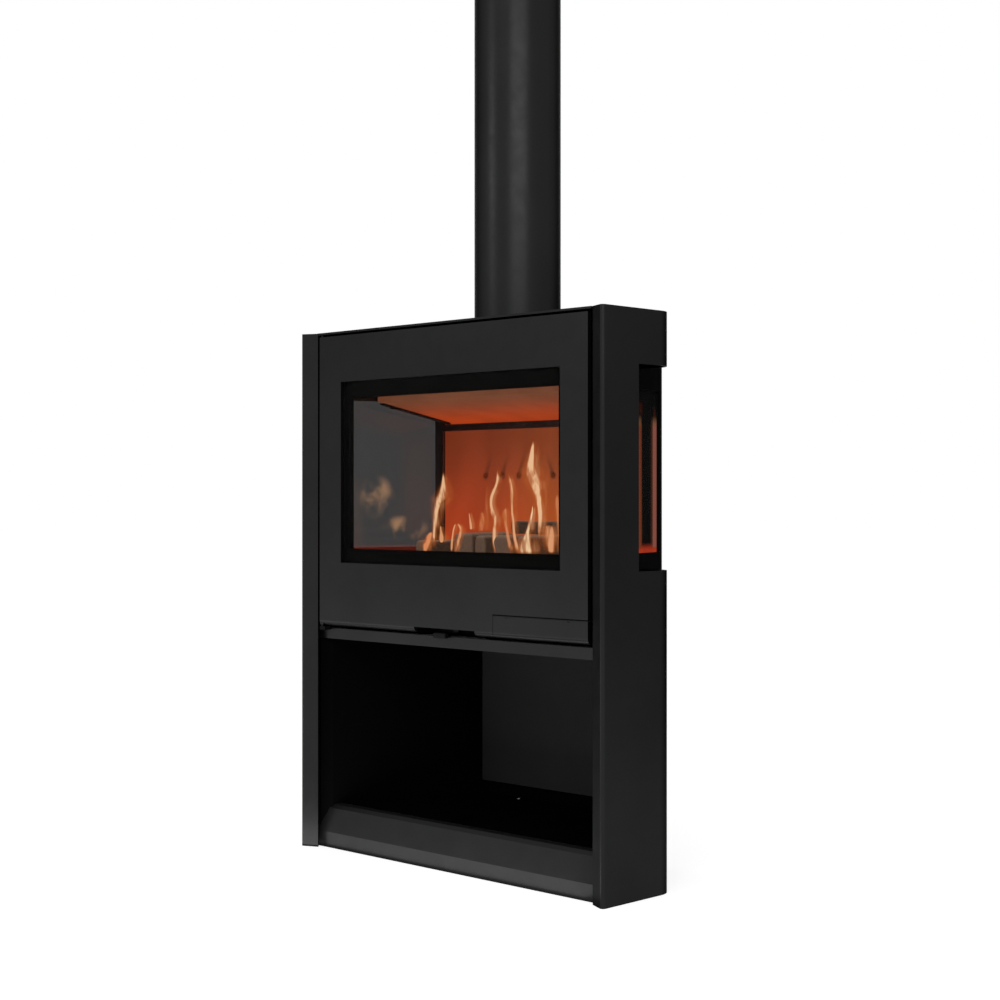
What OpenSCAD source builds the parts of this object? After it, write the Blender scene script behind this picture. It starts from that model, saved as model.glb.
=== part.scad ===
/* [Overall] */
// Width over the two side columns
body_w = 735; // [620:1:860]
// Depth from the sharp front corners to the back
body_d = 330; // [320:1:420]
// Height from the floor to the top of the columns
body_h = 935; // [905:1:1100]

/* [Side columns] */
// Sheet thickness of a column
column_t = 3; // [2:0.5:3.5]
// Depth of a column, front corner to rear face
column_d = 182; // [150:1:200]
// How far the front flange runs inwards
flange_reach = 33; // [30:1:38]
// How far the front flange runs back
flange_back = 15.5; // [14:0.5:22]
// Outer radius of the sharp front bend
front_bend_r = 5; // [4:0.5:6]
// Outer radius of the soft rear bend
rear_bend_r = 38; // [20:1:45]
// Depth at which the side window notch starts
notch_d = 88; // [70:1:120]
// Height of the notch's lower edge
notch_bottom = 519; // [510:1:530]
// Distance from the top down to the notch
notch_drop = 88; // [75:1:100]

/* [Top and flue] */
// Thickness of the top plate
top_t = 3.5; // [2:0.5:5]
// Depth of the top plate's front edge and of the door's face
face_d = 13; // [12:0.5:14]
// Outer radius of the flue pipe
pipe_r = 76; // [60:0.5:80]
// Wall of the flue pipe
pipe_wall = 2; // [1:0.5:3]
// Length of the flue pipe
pipe_len = 750; // [300:10:1000]
// Distance from the back to the flue's centre
flue_back = 137; // [130:1:150]
// How far the flue collar's spigot reaches into the pipe
spigot_h = 50; // [30:1:80]

/* [Door] */
// Inset of the door's side edges
door_inset = 41; // [39:1:60]
// Height of the door's lower edge
door_bottom = 405; // [405:1:408]
// Thickness of the door's face plate
door_t = 5; // [4:0.5:5]
// Radius of the door's rolled lower edge
door_edge_r = 9; // [7:0.5:10]
// Width of the door's border beside the window
window_side = 59; // [56:1:90]
// Height of the window's lower edge
window_bottom = 519.5; // [510:0.5:525]
// Distance from the top down to the window
window_drop = 91; // [85:1:110]
// Thickness of every glass pane
glass_t = 4; // [3:0.5:5]
// Width of the tilting handle flap
flap_w = 209; // [150:1:240]
// Height of the handle flap
flap_h = 38; // [34:1:40]
// Radius of the door's hinge pins
hinge_pin_r = 2.5; // [2:0.1:2.6]
// Radial clearance of every turning fit
running_gap = 0.05; // [0.03:0.01:0.1]

/* [Firebox] */
// Inset of the side panes at the front
side_front_s = 34; // [32:1:40]
// Inset of the side panes at the rear
side_rear_s = 101; // [88:0.5:104]
// Distance from the back to the rear end of the side panes
side_back = 65; // [60:1:75]
// Thickness of the steel plates of the firebox
plate_t = 4; // [3:0.5:6]
// Height of the firebox's steel base
base_z = 500; // [498:1:502]
// Distance from the top down to the firebox's steel roof
roof_drop = 45; // [35:1:55]
// Thickness of the fireproof floor slabs
floor_liner_t = 24; // [20:1:24]
// Thickness of the back lining
back_liner_t = 24; // [18:1:24]
// Distance between the holes for combustion air
air_hole_pitch = 42.5; // [34:0.5:50]
// Radius of a hole for combustion air
air_hole_r = 5; // [3:0.5:7]
// Distance from the baffle down to the air holes
air_hole_drop = 97; // [70:1:120]

// Inset of the baffle's front corners
baffle_front_s = 101.5; // [96:0.5:110]
// Depth of the baffle's front corners
baffle_front_d = 100; // [96:1:110]
// Inset of the baffle's rear corners
baffle_rear_s = 135.5; // [134:0.5:140]
// Distance from the top down to the baffle's rear edge
baffle_drop = 161; // [155:1:170]
// Angle at which the baffle rises to the front
baffle_rise = 13; // [10:0.5:14]
// Thickness of the baffle
baffle_t = 20; // [15:1:22]

/* [Log store] */
// Height of the shelf's underside over the log store
shelf_z = 380.5; // [370:0.5:384]
// Height of the shelf's front strip
shelf_strip_h = 19; // [14:0.5:20]
// Height of the log store's floor
store_floor_z = 78; // [70:1:100]
// Inset of the store's walls at the back
store_rear_s = 152.5; // [140:0.5:153]
// Height of the front strip at the floor
plinth_h = 28; // [20:1:36]
// Sheet thickness of the log store
store_t = 2.5; // [1.5:0.5:3]

/* [Air control] */
// Width of the finger slot in the door's lower edge
slot_w = 148; // [130:1:170]
// Width of the air lever's knob
knob_w = 30; // [22:1:34]
// Rest place of the lever, from the middle
lever_x = -14; // [-18:1:-8]
// Radius of the fresh air spigot
spigot_r = 40; // [30:1:40]

/* [Hidden] */
$fn = 48;

// Finishes
paint = "#2a2a2b";
dark_paint = "#1c1c1d";
liner = "#b08a62";
pane = [0.15, 0.15, 0.16, 0.5];

// Gaps that more than one piece shares
seat = 0.3;
clear = 1;
over = 1;

half_w = body_w / 2;
door_w = body_w - 2 * door_inset;
window_w = door_w - 2 * window_side;
window_top = body_h - window_drop;
notch_top = body_h - notch_drop;
roof_z = body_h - roof_drop;
baffle_rear_z = body_h - baffle_drop;
air_hole_z = baffle_rear_z - air_hole_drop;
flue_d = body_d - flue_back;
side_rear_d = body_d - side_back;
flange_a = atan(flange_back / flange_reach);
flange_len = norm([flange_reach, flange_back]);
// Distance from the sharp corner to where the front bend begins
bend_run = front_bend_r / tan((90 - flange_a) / 2);
// The bend's front lies a little behind the sharp corner
nose_d = bend_run - front_bend_r;
front_y = -(body_d + nose_d) / 2;
shelf_top_z = shelf_z + shelf_strip_h;
shelf_d = face_d + 13.5;

// A plan point of the right half: s is the inset from the side, d the depth from the front
function plan(s, d) = [half_w - s, front_y + d];
function y_at(d) = front_y + d;
function unit(v) = v / norm(v);
function normal(v) = [-v[1], v[0]];
function mitre(a, b, c, t) =
  let (m = normal(unit(b - a)), n = normal(unit(c - b))) b + t * (m + n) / (1 + m * n);
function shifted(p, t) = [
  for (i = [0 : len(p) - 1])
    i == 0 ? p[0] + t * normal(unit(p[1] - p[0]))
    : i == len(p) - 1 ? p[i] + t * normal(unit(p[i] - p[i - 1]))
    : mitre(p[i - 1], p[i], p[i + 1], t)
];
function backwards(p) = [for (i = [len(p) - 1 : -1 : 0]) p[i]];
function mirrored(p) = [for (i = [len(p) - 1 : -1 : 0]) [-p[i][0], p[i][1]]];
// Point on the segment from a to b at the second coordinate y
function at_y(a, b, y) = a + (b - a) * (y - a[1]) / (b[1] - a[1]);

// A folded sheet: the path of one face, and the thickness to its left
module folded(path, t) polygon(concat(path, backwards(shifted(path, t))));
module both() {
  children();
  mirror([1, 0, 0]) children();
}
module slab(z, h) translate([0, 0, z]) linear_extrude(h) children();
// Extrudes a profile drawn in (y, z) along the width, from x0 to x1
module along_x(x0, x1) translate([x0, 0, 0]) rotate([90, 0, 90]) linear_extrude(x1 - x0) children();
// A block from one corner to the other
module block(a, b) translate(a) cube(b - a);
module rod_x(r, x0, x1, y, z) translate([x0, y, z]) rotate([0, 90, 0]) cylinder(r = r, h = x1 - x0);
module rod_y(r, x, y0, y1, z) translate([x, y1, z]) rotate([90, 0, 0]) cylinder(r = r, h = y1 - y0);
module rod_z(r, x, y, z0, z1) translate([x, y, z0]) cylinder(r = r, h = z1 - z0);

// ---- Side columns ----
return_d = column_d - column_t;

side_front_d = face_d + 30;
side_front = plan(side_front_s, side_front_d);
side_rear = plan(side_rear_s, side_rear_d);
side_v = unit(side_rear - side_front);
side_len = norm(side_rear - side_front);
side_a = atan2(side_v[1], side_v[0]);
function side_x(d) = at_y(side_front, side_rear, y_at(d))[0];

// Front strips of the log store, which run on behind the flanges
strip_t = 3;
strip_x = half_w - flange_reach + 13;
store_mouth = plan(flange_reach - 8.5, shelf_d + strip_t + 2 * seat);
store_front = plan(flange_reach + 12.5, shelf_d + 13.5);
store_rear = plan(store_rear_s, body_d - 6);
function store_x(d) = at_y(store_front, store_rear, y_at(d))[0];
// Width that a sheet standing at the wall's angle takes along x
function across(t, v) = t / abs(v[1]);
store_v = unit(store_rear - store_front);
// X of a plane g inside the side pane's plane
function inside_x(d, g) = side_x(d) - across(g, side_v);

module front_bend() {
  centre = plan(front_bend_r, bend_run);
  reach = 2 * front_bend_r;
  intersection() {
    translate(centre) difference() {
      circle(front_bend_r);
      circle(front_bend_r - column_t);
    }
    translate(centre) polygon([
      [0, 0], [reach, 0], [reach, -reach], [-reach * sin(flange_a), -reach],
      [-reach * sin(flange_a), -reach * cos(flange_a)]
    ]);
  }
}
module rear_bend() {
  translate(plan(rear_bend_r, column_d - rear_bend_r)) intersection() {
    difference() {
      circle(rear_bend_r, $fn = 96);
      circle(rear_bend_r - column_t, $fn = 96);
    }
    square(rear_bend_r + over);
  }
}
// Plan of the column whose rear flange ends at the x given
module column_plan(end_x) {
  translate(plan(column_t, bend_run))
    square([column_t, column_d - rear_bend_r - bend_run]);
  front_bend();
  translate(plan(0, 0)) rotate(180 - flange_a) translate([bend_run, -column_t])
    square([flange_len - bend_run, column_t]);
  rear_bend();
  translate([end_x, y_at(return_d)])
    square([half_w - rear_bend_r - end_x, column_t]);
}
module column() color(paint) {
  foot_x = store_x(return_d) + across(store_t, store_v) + seat;
  top_x = side_x(return_d) + seat;
  slab(0, shelf_z) column_plan(foot_x);
  difference() {
    slab(shelf_z, body_h - shelf_z) column_plan(top_x);
    block([side_x(column_d) - over, y_at(notch_d), notch_bottom],
      [half_w + over, y_at(column_d) + over, notch_top]);
  }
}
module column_right() column();
module column_left() mirror([1, 0, 0]) column();

// ---- Fire box of steel plate ----
front_frame_d = face_d + 26;
fire_back_d = side_rear_d + 27;
wing_end = plan(side_rear_s + 30, fire_back_d);
shell_d = body_d - 2;
shell_rear = plan(store_rear_s + 2, shell_d);
shell_side = side_rear + [-1, 3.8];

// Plan of the fire box, between the side panes and the back
module fire_plan() polygon(concat(
  [side_front, side_rear, wing_end], mirrored([side_front, side_rear, wing_end])));

module firebox_base() color(dark_paint) difference() {
  slab(base_z, plate_t) fire_plan();
  block([-grate_w / 2, y_at(grate_d), base_z - over],
    [grate_w / 2, y_at(grate_d) + grate_l, base_z + plate_t + over]);
}
module firebox_roof() color(dark_paint) difference() {
  slab(roof_z, plate_t) fire_plan();
  rod_z(socket_r - seat - collar_t, 0, y_at(flue_d), roof_z - over, roof_z + plate_t + over);
}
// The back plate closes on the rear ends of the side frames
back_t = 3;
wing = [side_rear + [-7, 0], wing_end + [-4, -1]];
back_side = [side_rear + [-1.6, 1.5], wing[1]];
module firebox_back() color(dark_paint) slab(base_z + plate_t, roof_z - base_z - plate_t)
  folded(concat(back_side, mirrored(back_side)), back_t);
function wing_x(d) = at_y(wing[0], wing[1], y_at(d))[0] - 1.5 * back_t - clear;

fire_side = 87.5;
fire_w = body_w - 2 * fire_side;
// The front frame runs on behind the columns' flanges
frame_x = half_w - flange_reach + 10;
module front_frame() color(dark_paint) difference() {
  block([-frame_x, y_at(front_frame_d), shelf_top_z],
    [frame_x, y_at(side_front_d), body_h - top_t]);
  block([-fire_w / 2, y_at(front_frame_d) - over, base_z + plate_t],
    [fire_w / 2, y_at(side_front_d) + over, roof_z]);
  block([-slot_w / 2, y_at(front_frame_d) - over, shelf_top_z - over],
    [slot_w / 2, y_at(side_front_d) + over, door_bottom + door_edge_r]);
}

// Anything drawn in the plane of a side pane: x to the rear, y up, z outwards
module side_plane(out) translate([side_front[0], side_front[1], 0]) rotate([90, 0, side_a])
  translate([0, 0, out]) children();

pane_drop = 29;
pane_rise = 25;
pane_side = 14;
pane_rear = 6;
pane_top = window_top - pane_drop;
pane_bottom = window_bottom + pane_rise;
pane_start = pane_side;
pane_end = side_len - pane_rear;
lap = 10;
// The frame starts where its inner edge meets the front frame
frame_start = plate_t * abs(side_v[0] / side_v[1]) + seat / 10;
module side_frame() color(dark_paint) side_plane(-plate_t) linear_extrude(plate_t) difference() {
  translate([frame_start, base_z + plate_t]) square([side_len - frame_start, roof_z - base_z - plate_t]);
  translate([pane_start, pane_bottom]) square([pane_end - pane_start, pane_top - pane_bottom]);
}
module side_frame_right() side_frame();
module side_frame_left() mirror([1, 0, 0]) side_frame();

seal_t = 1.5;
side_lap = 8;
rear_lap = 4;
module pane_outline() translate([pane_start - side_lap, pane_bottom - lap])
  square([pane_end - pane_start + side_lap + rear_lap, pane_top - pane_bottom + 2 * lap]);
module side_seal() color("#8f8b82") side_plane(-plate_t - seal_t) linear_extrude(seal_t) difference() {
  pane_outline();
  translate([pane_start, pane_bottom]) square([pane_end - pane_start, pane_top - pane_bottom]);
}
module side_seal_right() side_seal();
module side_seal_left() mirror([1, 0, 0]) side_seal();
module side_glass() color(pane) side_plane(-plate_t - seal_t - glass_t) linear_extrude(glass_t)
  pane_outline();
module side_glass_right() side_glass();
module side_glass_left() mirror([1, 0, 0]) side_glass();

// Clips over the upper and lower edge of each side pane
clip_w = 24;
clip_t = 2;
clip_h = 22;
clip_grip = 6;
clip_inset = 40;
module clip_at(x, z, up) {
  stack = seal_t + glass_t;
  side_plane(-plate_t - stack - clip_t) translate([x, z]) linear_extrude(clip_t)
    translate([-clip_w / 2, up > 0 ? -clip_grip : clip_grip - clip_h]) square([clip_w, clip_h]);
  side_plane(-plate_t - stack) translate([x, z]) linear_extrude(stack)
    translate([-clip_w / 2, up > 0 ? clear : clip_grip - clip_h])
      square([clip_w, clip_h - clip_grip - clear]);
}
module side_glass_clips() color("#3a3a3a") both() {
  for (x = [pane_start + clip_inset, pane_end - clip_inset]) {
    clip_at(x, pane_top + lap, 1);
    clip_at(x, pane_bottom - lap, -1);
  }
}

// ---- Lining, grate and baffle ----
floor_top = base_z + plate_t + floor_liner_t;
grate_w = 150;
grate_l = 100;
grate_d = 110;
grate_t = 10;
grate_rim = 8;
// The grate's rim lies in a step of the floor slabs
grate_lap = 7;
module grate_block(grow, top_z)
  block([-grate_w / 2 - grate_lap - grow, y_at(grate_d) - grate_lap - grow, floor_top - grate_t],
    [grate_w / 2 + grate_lap + grow, y_at(grate_d) + grate_l + grate_lap + grow, top_z]);
liner_front_d = side_front_d + 2;
back_face_d = side_rear_d - 3;
side_pack = plate_t + seal_t + glass_t + clip_t + 2;

floor_side = [
  [inside_x(liner_front_d, side_pack), y_at(liner_front_d)],
  [inside_x(back_face_d, side_pack), y_at(back_face_d) - seat]
];
module floor_liner() color(liner) difference() {
  slab(base_z + plate_t, floor_liner_t) polygon(concat(floor_side, mirrored(floor_side)));
  block([-grate_w / 2, y_at(grate_d), base_z],
    [grate_w / 2, y_at(grate_d) + grate_l, floor_top + over]);
  grate_block(clear, floor_top + over);
}
liner_side = [
  [wing_x(back_face_d), y_at(back_face_d)],
  [wing_x(back_face_d + back_liner_t), y_at(back_face_d + back_liner_t)]
];
module back_liner() color(liner) difference() {
  slab(base_z + plate_t, baffle_rear_z + 12 - base_z - plate_t)
    polygon(concat(liner_side, mirrored(liner_side)));
  for (i = [-3.5 : 3.5])
    rod_y(air_hole_r, i * air_hole_pitch, y_at(back_face_d) - over,
      y_at(back_face_d + back_liner_t) + over, air_hole_z);
}
bar_gap = 9;
bar_w = 10.5;
bar_count = 7;
module grate() color("#2e2c2a") difference() {
  grate_block(0, floor_top);
  for (i = [0 : bar_count - 1]) {
    gap_x = (i - (bar_count - 1) / 2) * (bar_gap + bar_w);
    block([gap_x - bar_gap / 2, y_at(grate_d) + grate_rim, floor_top - grate_t - over],
      [gap_x + bar_gap / 2, y_at(grate_d) + grate_l - grate_rim, floor_top + over]);
  }
}
guard_t = 6;
guard_h = 12;
module log_guard() color("#2e2c2a") {
  guard_x = side_front[0] - side_pack - guard_h;
  guard_y = y_at(liner_front_d) + guard_t;
  block([-guard_x, guard_y, floor_top], [guard_x, guard_y + guard_t, floor_top + guard_h]);
}

baffle_side = [plan(baffle_front_s, baffle_front_d), plan(baffle_rear_s, back_face_d - seat)];
function baffle_x(d) = at_y(baffle_side[0], baffle_side[1], y_at(d))[0];
// Longer than the baffle, whose front is cut upright
baffle_reach = 220;
module baffle() color(liner) intersection() {
  slab(baffle_rear_z - over, baffle_reach / 2) polygon(concat(baffle_side, mirrored(baffle_side)));
  translate([-half_w, y_at(back_face_d), baffle_rear_z]) rotate([-baffle_rise, 0, 0])
    translate([0, -baffle_reach, 0]) cube([body_w, baffle_reach, baffle_t]);
}
tube_s = 12;
tube_wall = 2;
tube_d = back_face_d - tube_s - seat;
module baffle_tube() color("#26221f") {
  tube_x = side_x(tube_d) - side_pack - 4;
  difference() {
    block([-tube_x, y_at(tube_d), baffle_rear_z - tube_s - seat],
      [tube_x, y_at(tube_d) + tube_s, baffle_rear_z - seat]);
    block([-tube_x - over, y_at(tube_d) + tube_wall, baffle_rear_z - tube_s - seat + tube_wall],
      [tube_x + over, y_at(tube_d) + tube_s - tube_wall, baffle_rear_z - seat - tube_wall]);
  }
}
// Rails under the baffle's side edges, hung from the roof by a flat bar each
bracket_t = 3;
rail_in = 6;
rail_out = clear + bracket_t;
rail_d = [108, tube_d - clear];
hanger_d = 128;
hanger_w = 24;
module baffle_brackets() color("#26221f") both() {
  intersection() {
    slab(baffle_rear_z - 2 * bracket_t, baffle_reach / 2) polygon([
      for (p = [[0, -rail_in], [0, rail_out], [1, rail_out], [1, -rail_in]])
        [baffle_x(rail_d[p[0]]) + p[1], y_at(rail_d[p[0]])]
    ]);
    translate([0, y_at(back_face_d), baffle_rear_z]) rotate([-baffle_rise, 0, 0])
      translate([0, -baffle_reach, -seat - bracket_t]) cube([half_w, baffle_reach, bracket_t]);
  }
  hang_x = baffle_x(hanger_d) + clear;
  hang_z = baffle_rear_z + (back_face_d - hanger_d - hanger_w) * tan(baffle_rise) - 2 * seat;
  block([hang_x, y_at(hanger_d), hang_z], [hang_x + bracket_t, y_at(hanger_d + hanger_w), roof_z]);
}
// Upright angles that hold the rear edge of each side pane
angle_d = [242, 253];
angle_t = 3;
angle_x = 245.5;
angle_bend = angle_d[0] + angle_t;
function pane_x(d) = inside_x(d, plate_t + seal_t + glass_t + seat);
module rear_angles() color("#26221f") both()
  slab(floor_top + seat, roof_z - floor_top - seat) polygon([
    [angle_x, y_at(angle_d[0])], [pane_x(angle_d[0]), y_at(angle_d[0])],
    [pane_x(angle_d[1]), y_at(angle_d[1])], [pane_x(angle_d[1]) - angle_t, y_at(angle_d[1])],
    [pane_x(angle_bend) - angle_t, y_at(angle_bend)], [angle_x, y_at(angle_bend)]
  ]);

// ---- Top and flue ----
collar_t = 4;
collar_foot = 14;
collar_ring = 5;
collar_top = body_h + 1;
module top_plate() color(paint) difference() {
  slab(body_h - top_t, top_t) polygon(concat(top_edge, mirrored(top_edge)));
  rod_z(pipe_r + 7, 0, y_at(flue_d), body_h - top_t - over, body_h + over);
  rod_z(hinge_pin_r, hinge_x, hinge_y, body_h - top_t - over, body_h + over);
}
// Right half of the top plate, round the flange and the column
top_edge = [
  plan(flange_reach + clear, face_d),
  plan(flange_reach + clear, flange_back + column_t + 2 * clear),
  plan(column_t + clear + 8, flange_back + column_t + 2 * clear),
  plan(column_t + clear, flange_back + column_t + 10),
  plan(column_t + clear, column_d - rear_bend_r),
  plan(column_t + clear + 10, column_d - column_t - 16),
  plan(rear_bend_r, column_d - column_t - clear),
  [side_x(column_d), y_at(column_d - column_t - clear)],
  [side_x(column_d), y_at(column_d)],
  shell_side,
  shell_rear
];
// The pipe's lower end is opened out over the collar's spigot
socket_h = spigot_h + 5;
socket_r = pipe_r - pipe_wall + 1.2;
module flue_collar() color(dark_paint) translate([0, y_at(flue_d), 0]) rotate_extrude() {
  inner = socket_r - seat;
  translate([inner - collar_t, roof_z + plate_t])
    square([collar_t, collar_top - roof_z - plate_t + spigot_h]);
  translate([inner - collar_t, roof_z + plate_t]) square([collar_t + collar_foot, collar_t]);
  translate([inner - over, collar_top - collar_ring]) square([pipe_r + 2 - inner + over, collar_ring]);
}
module flue_pipe() color(paint) translate([0, y_at(flue_d), collar_top]) difference() {
  cylinder(r = pipe_r, h = pipe_len, $fn = 96);
  translate([0, 0, -over]) cylinder(r = pipe_r - pipe_wall, h = pipe_len + 2 * over, $fn = 96);
  translate([0, 0, -over]) cylinder(r = socket_r, h = socket_h + over, $fn = 96);
}

// ---- Rear shield over the upper half ----
shield_t = 2;
vent_w = 60;
vent_h = 6;
vent_row = 24;
vent_z = roof_z - 100;
vent_count = 5;
vent_pitch = (2 * shell_rear[0] - 26) / vent_count;
module rear_shield() color(paint) difference() {
  slab(shelf_z, body_h - top_t - shelf_z)
    folded(concat([shell_side, shell_rear], mirrored([shell_side, shell_rear])), shield_t);
  for (i = [0 : vent_count - 1])
    for (row = [0 : 3])
      translate([(i - (vent_count - 1) / 2) * vent_pitch - vent_w / 2,
        y_at(shell_d) - shield_t - over, vent_z + vent_row * row])
        cube([vent_w, shield_t + 2 * over, vent_h]);
  rod_y(spigot_r + 12, 0, y_at(shell_d) - shield_t - over, y_at(shell_d) + over, air_z);
}

// ---- Combustion air ----
air_z = 452;
air_front_d = 62;
air_back_d = body_d - 82;
air_half = 112;
air_low = shelf_z + store_t + 16;
air_wall = 2;
air_port_x = 45;
air_port_low = 418;
air_port_top = 436;
rail_t = 3;
module air_box() color(dark_paint) {
  difference() {
    block([-air_half, y_at(air_front_d), air_low], [air_half, y_at(air_back_d), base_z]);
    block([-air_half + air_wall, y_at(air_front_d) + air_wall, air_low + air_wall],
      [air_half - air_wall, y_at(air_back_d) - air_wall, base_z + over]);
    for (x = [-air_port_x, air_port_x])
      block([x - air_port / 2, y_at(air_front_d) - over, air_port_low],
        [x + air_port / 2, y_at(air_front_d) + air_wall + over, air_port_top]);
    rod_y(spigot_r, 0, y_at(air_back_d) - air_wall - over, y_at(air_back_d) + over, air_z);
  }
  // Guide rails of the air slide
  for (z = [slide_low - rail_t - seat, slide_top + seat])
    block([-air_half, y_at(air_front_d) - rail_t, z], [air_half, y_at(air_front_d), z + rail_t]);
}
air_port = 44;
slide_low = 412;
slide_top = 442;
module fresh_air_spigot() color("#8a8a8a") translate([0, y_at(body_d) - 1, air_z]) rotate([90, 0, 0]) {
  difference() {
    cylinder(r = spigot_r, h = body_d - air_back_d + 1);
    translate([0, 0, -over]) cylinder(r = spigot_r - air_wall, h = body_d - air_back_d + 1 + 2 * over);
  }
}
slide_gap = 0.4;
slide_w = 80;
slide_y = y_at(air_front_d) - slide_gap;
module air_slide() color("#6c6c6c") difference() {
  block([lever_x - slide_w / 2, slide_y - rail_t, slide_low], [lever_x + slide_w / 2, slide_y, slide_top]);
  block([lever_x - lever_w, slide_y - rail_t - over, air_port_low],
    [lever_x + lever_w, slide_y + over, air_port_top]);
}
lever_w = 12;
lever_t = 3;
lever_z = shelf_top_z + 2;
module air_lever() color("#3a3a3a") {
  back_y = slide_y - rail_t;
  block([lever_x - lever_w / 2, y_at(knob_d1), lever_z], [lever_x + lever_w / 2, back_y, lever_z + lever_t]);
  block([lever_x - lever_w / 2, back_y - lever_t, lever_z],
    [lever_x + lever_w / 2, back_y, slide_low + 8]);
}
knob_d0 = face_d + 1;
knob_d1 = shelf_d - 1.5;
knob_low = lever_z - 4.5;
knob_top = lever_z + lever_t + 2;
module air_knob() color("#2b2b2b")
  block([lever_x - knob_w / 2, y_at(knob_d0), knob_low],
    [lever_x + knob_w / 2, y_at(knob_d1), knob_top]);

pan_half = 88;
pan_front_d = 86;
pan_back_d = air_back_d - 22;
pan_wall = 2;
pan_runner = 30;
module ash_pan() color("#77736c") {
  foot = air_low + air_wall;
  low = foot + pan_runner;
  difference() {
    block([-pan_half, y_at(pan_front_d), low], [pan_half, y_at(pan_back_d), base_z - 6]);
    block([pan_wall - pan_half, y_at(pan_front_d) + pan_wall, low + pan_wall],
      [pan_half - pan_wall, y_at(pan_back_d) - pan_wall, base_z]);
  }
  // Runners that the pan stands on
  both() block([pan_half - 12, y_at(pan_front_d), foot], [pan_half - 4, y_at(pan_back_d), low]);
}

// ---- Log store ----
shelf_back_d = shell_d - shield_t - clear;
shelf_cut = 7;
shelf_side = [
  plan(flange_reach - 8, shelf_d), store_front,
  [store_x(shelf_back_d - shelf_cut), y_at(shelf_back_d - shelf_cut)],
  [store_x(shelf_back_d) - shelf_cut / 2, y_at(shelf_back_d)]
];
module shelf() color(paint) {
  slab(shelf_z, store_t) polygon(concat(shelf_side, mirrored(shelf_side)));
  block([-strip_x, y_at(shelf_d), shelf_z], [strip_x, y_at(shelf_d) + strip_t, shelf_top_z]);
}
module store_wall() color(dark_paint) slab(2, shelf_z - 2) intersection() {
  folded(backwards([store_mouth, store_front, [store_x(body_d), y_at(body_d)]]), store_t);
  translate([0, y_at(0)]) square([half_w, store_back_d - seat / 3]);
}
module store_wall_right() store_wall();
module store_wall_left() mirror([1, 0, 0]) store_wall();

store_back_d = body_d - 4.5;
module store_back() color(dark_paint)
  block([-store_x(store_back_d) , y_at(store_back_d), 20], [store_x(store_back_d), y_at(shell_d), shelf_z]);
panel_d = body_d - 10;
panel_low = store_floor_z + 24;
panel_t = 2;
panel_post_x = 150;
panel_post_z = 50;
module store_back_panel() color(paint) {
  panel_x = store_x(panel_d) - clear;
  block([-panel_x, y_at(panel_d), panel_low], [panel_x, y_at(panel_d) + panel_t, shelf_z - panel_t]);
  // Spacers
  for (x = [-panel_post_x, panel_post_x])
    for (z = [panel_low + panel_post_z, shelf_z - panel_post_z])
      rod_y(6, x, y_at(panel_d) + panel_t, y_at(store_back_d), z);
}
sill_end_d = shelf_d + 28.5;
sill_run = 11;
sill_drop = 8;
store_side = [for (d = [sill_end_d, store_back_d - seat]) [store_x(d) - seat, y_at(d)]];
module store_floor() color(paint)
  slab(store_floor_z - strip_t, strip_t) polygon(concat(store_side, mirrored(store_side)));

// Front strip, sloping sill and the edge of the store's floor, in (y, z)
sill_path = [
  [y_at(shelf_d), 0], [y_at(shelf_d), plinth_h],
  [y_at(shelf_d + sill_run), store_floor_z - sill_drop],
  [y_at(shelf_d + 1.5 * sill_run), store_floor_z - sill_drop / 4],
  [y_at(shelf_d + 2 * sill_run), store_floor_z], [y_at(sill_end_d), store_floor_z]
];
sill_side = [
  [store_mouth[0] - seat, y_at(shelf_d + store_t)], [store_mouth[0] - seat, store_mouth[1]],
  [store_front[0] - seat, store_front[1]],
  [store_x(sill_end_d) - seat, y_at(sill_end_d)]
];
module plinth() color(paint) intersection() {
  along_x(-half_w, half_w) folded(backwards(sill_path), store_t);
  slab(0, store_floor_z + over) union() {
    translate([-strip_x, y_at(shelf_d) - over]) square([2 * strip_x, store_t + over]);
    polygon(concat(sill_side, mirrored(sill_side)));
  }
}
runner_s = 197.5;
runner_x = half_w - runner_s;
runner_w = 30;
runner_z = 30;
runner_wall = 2;
runner_d = [70, body_d - 20];
module base_runners() color(dark_paint) both() difference() {
  block([runner_x - runner_w / 2, y_at(runner_d[0]), runner_z],
    [runner_x + runner_w / 2, y_at(runner_d[1]), store_floor_z - strip_t]);
  block([runner_x - runner_w / 2 + runner_wall, y_at(runner_d[0]) - over, runner_z + runner_wall],
    [runner_x + runner_w / 2 - runner_wall, y_at(runner_d[1]) + over,
      store_floor_z - strip_t - runner_wall]);
}
foot_h = 8;
foot_inset = 20;
module levelling_feet() color("#555555") both() for (d = runner_d + [foot_inset, -foot_inset]) {
  rod_z(18, runner_x, y_at(d), 0, foot_h);
  rod_z(5, runner_x, y_at(d), foot_h, runner_z);
}

// ---- Door ----
hinge_s = (body_w - door_w) / 2 + 4.5;
hinge_x = -(half_w - hinge_s);
hinge_y = y_at(face_d) + 3.5;
top_gap = 4.3;
door_top = body_h - top_t - top_gap;
door_half = door_w / 2;
stile_t = 7.5;
stile_w = 9;
door_back_y = y_at(face_d) + door_t;
pin_run = 18;
flap_x0 = door_half - flap_w;
flap_top = door_bottom + flap_h;
flap_axis_y = y_at(face_d) + door_t / 2;
flap_axis_z = flap_top - door_t / 2;
flap_gap = 0.8;
lug_t = 4;
lug_gap = 0.6;
lug_x = [flap_x0 + 30, door_half - 40];
handle_pin_r = 1.25;

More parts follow.
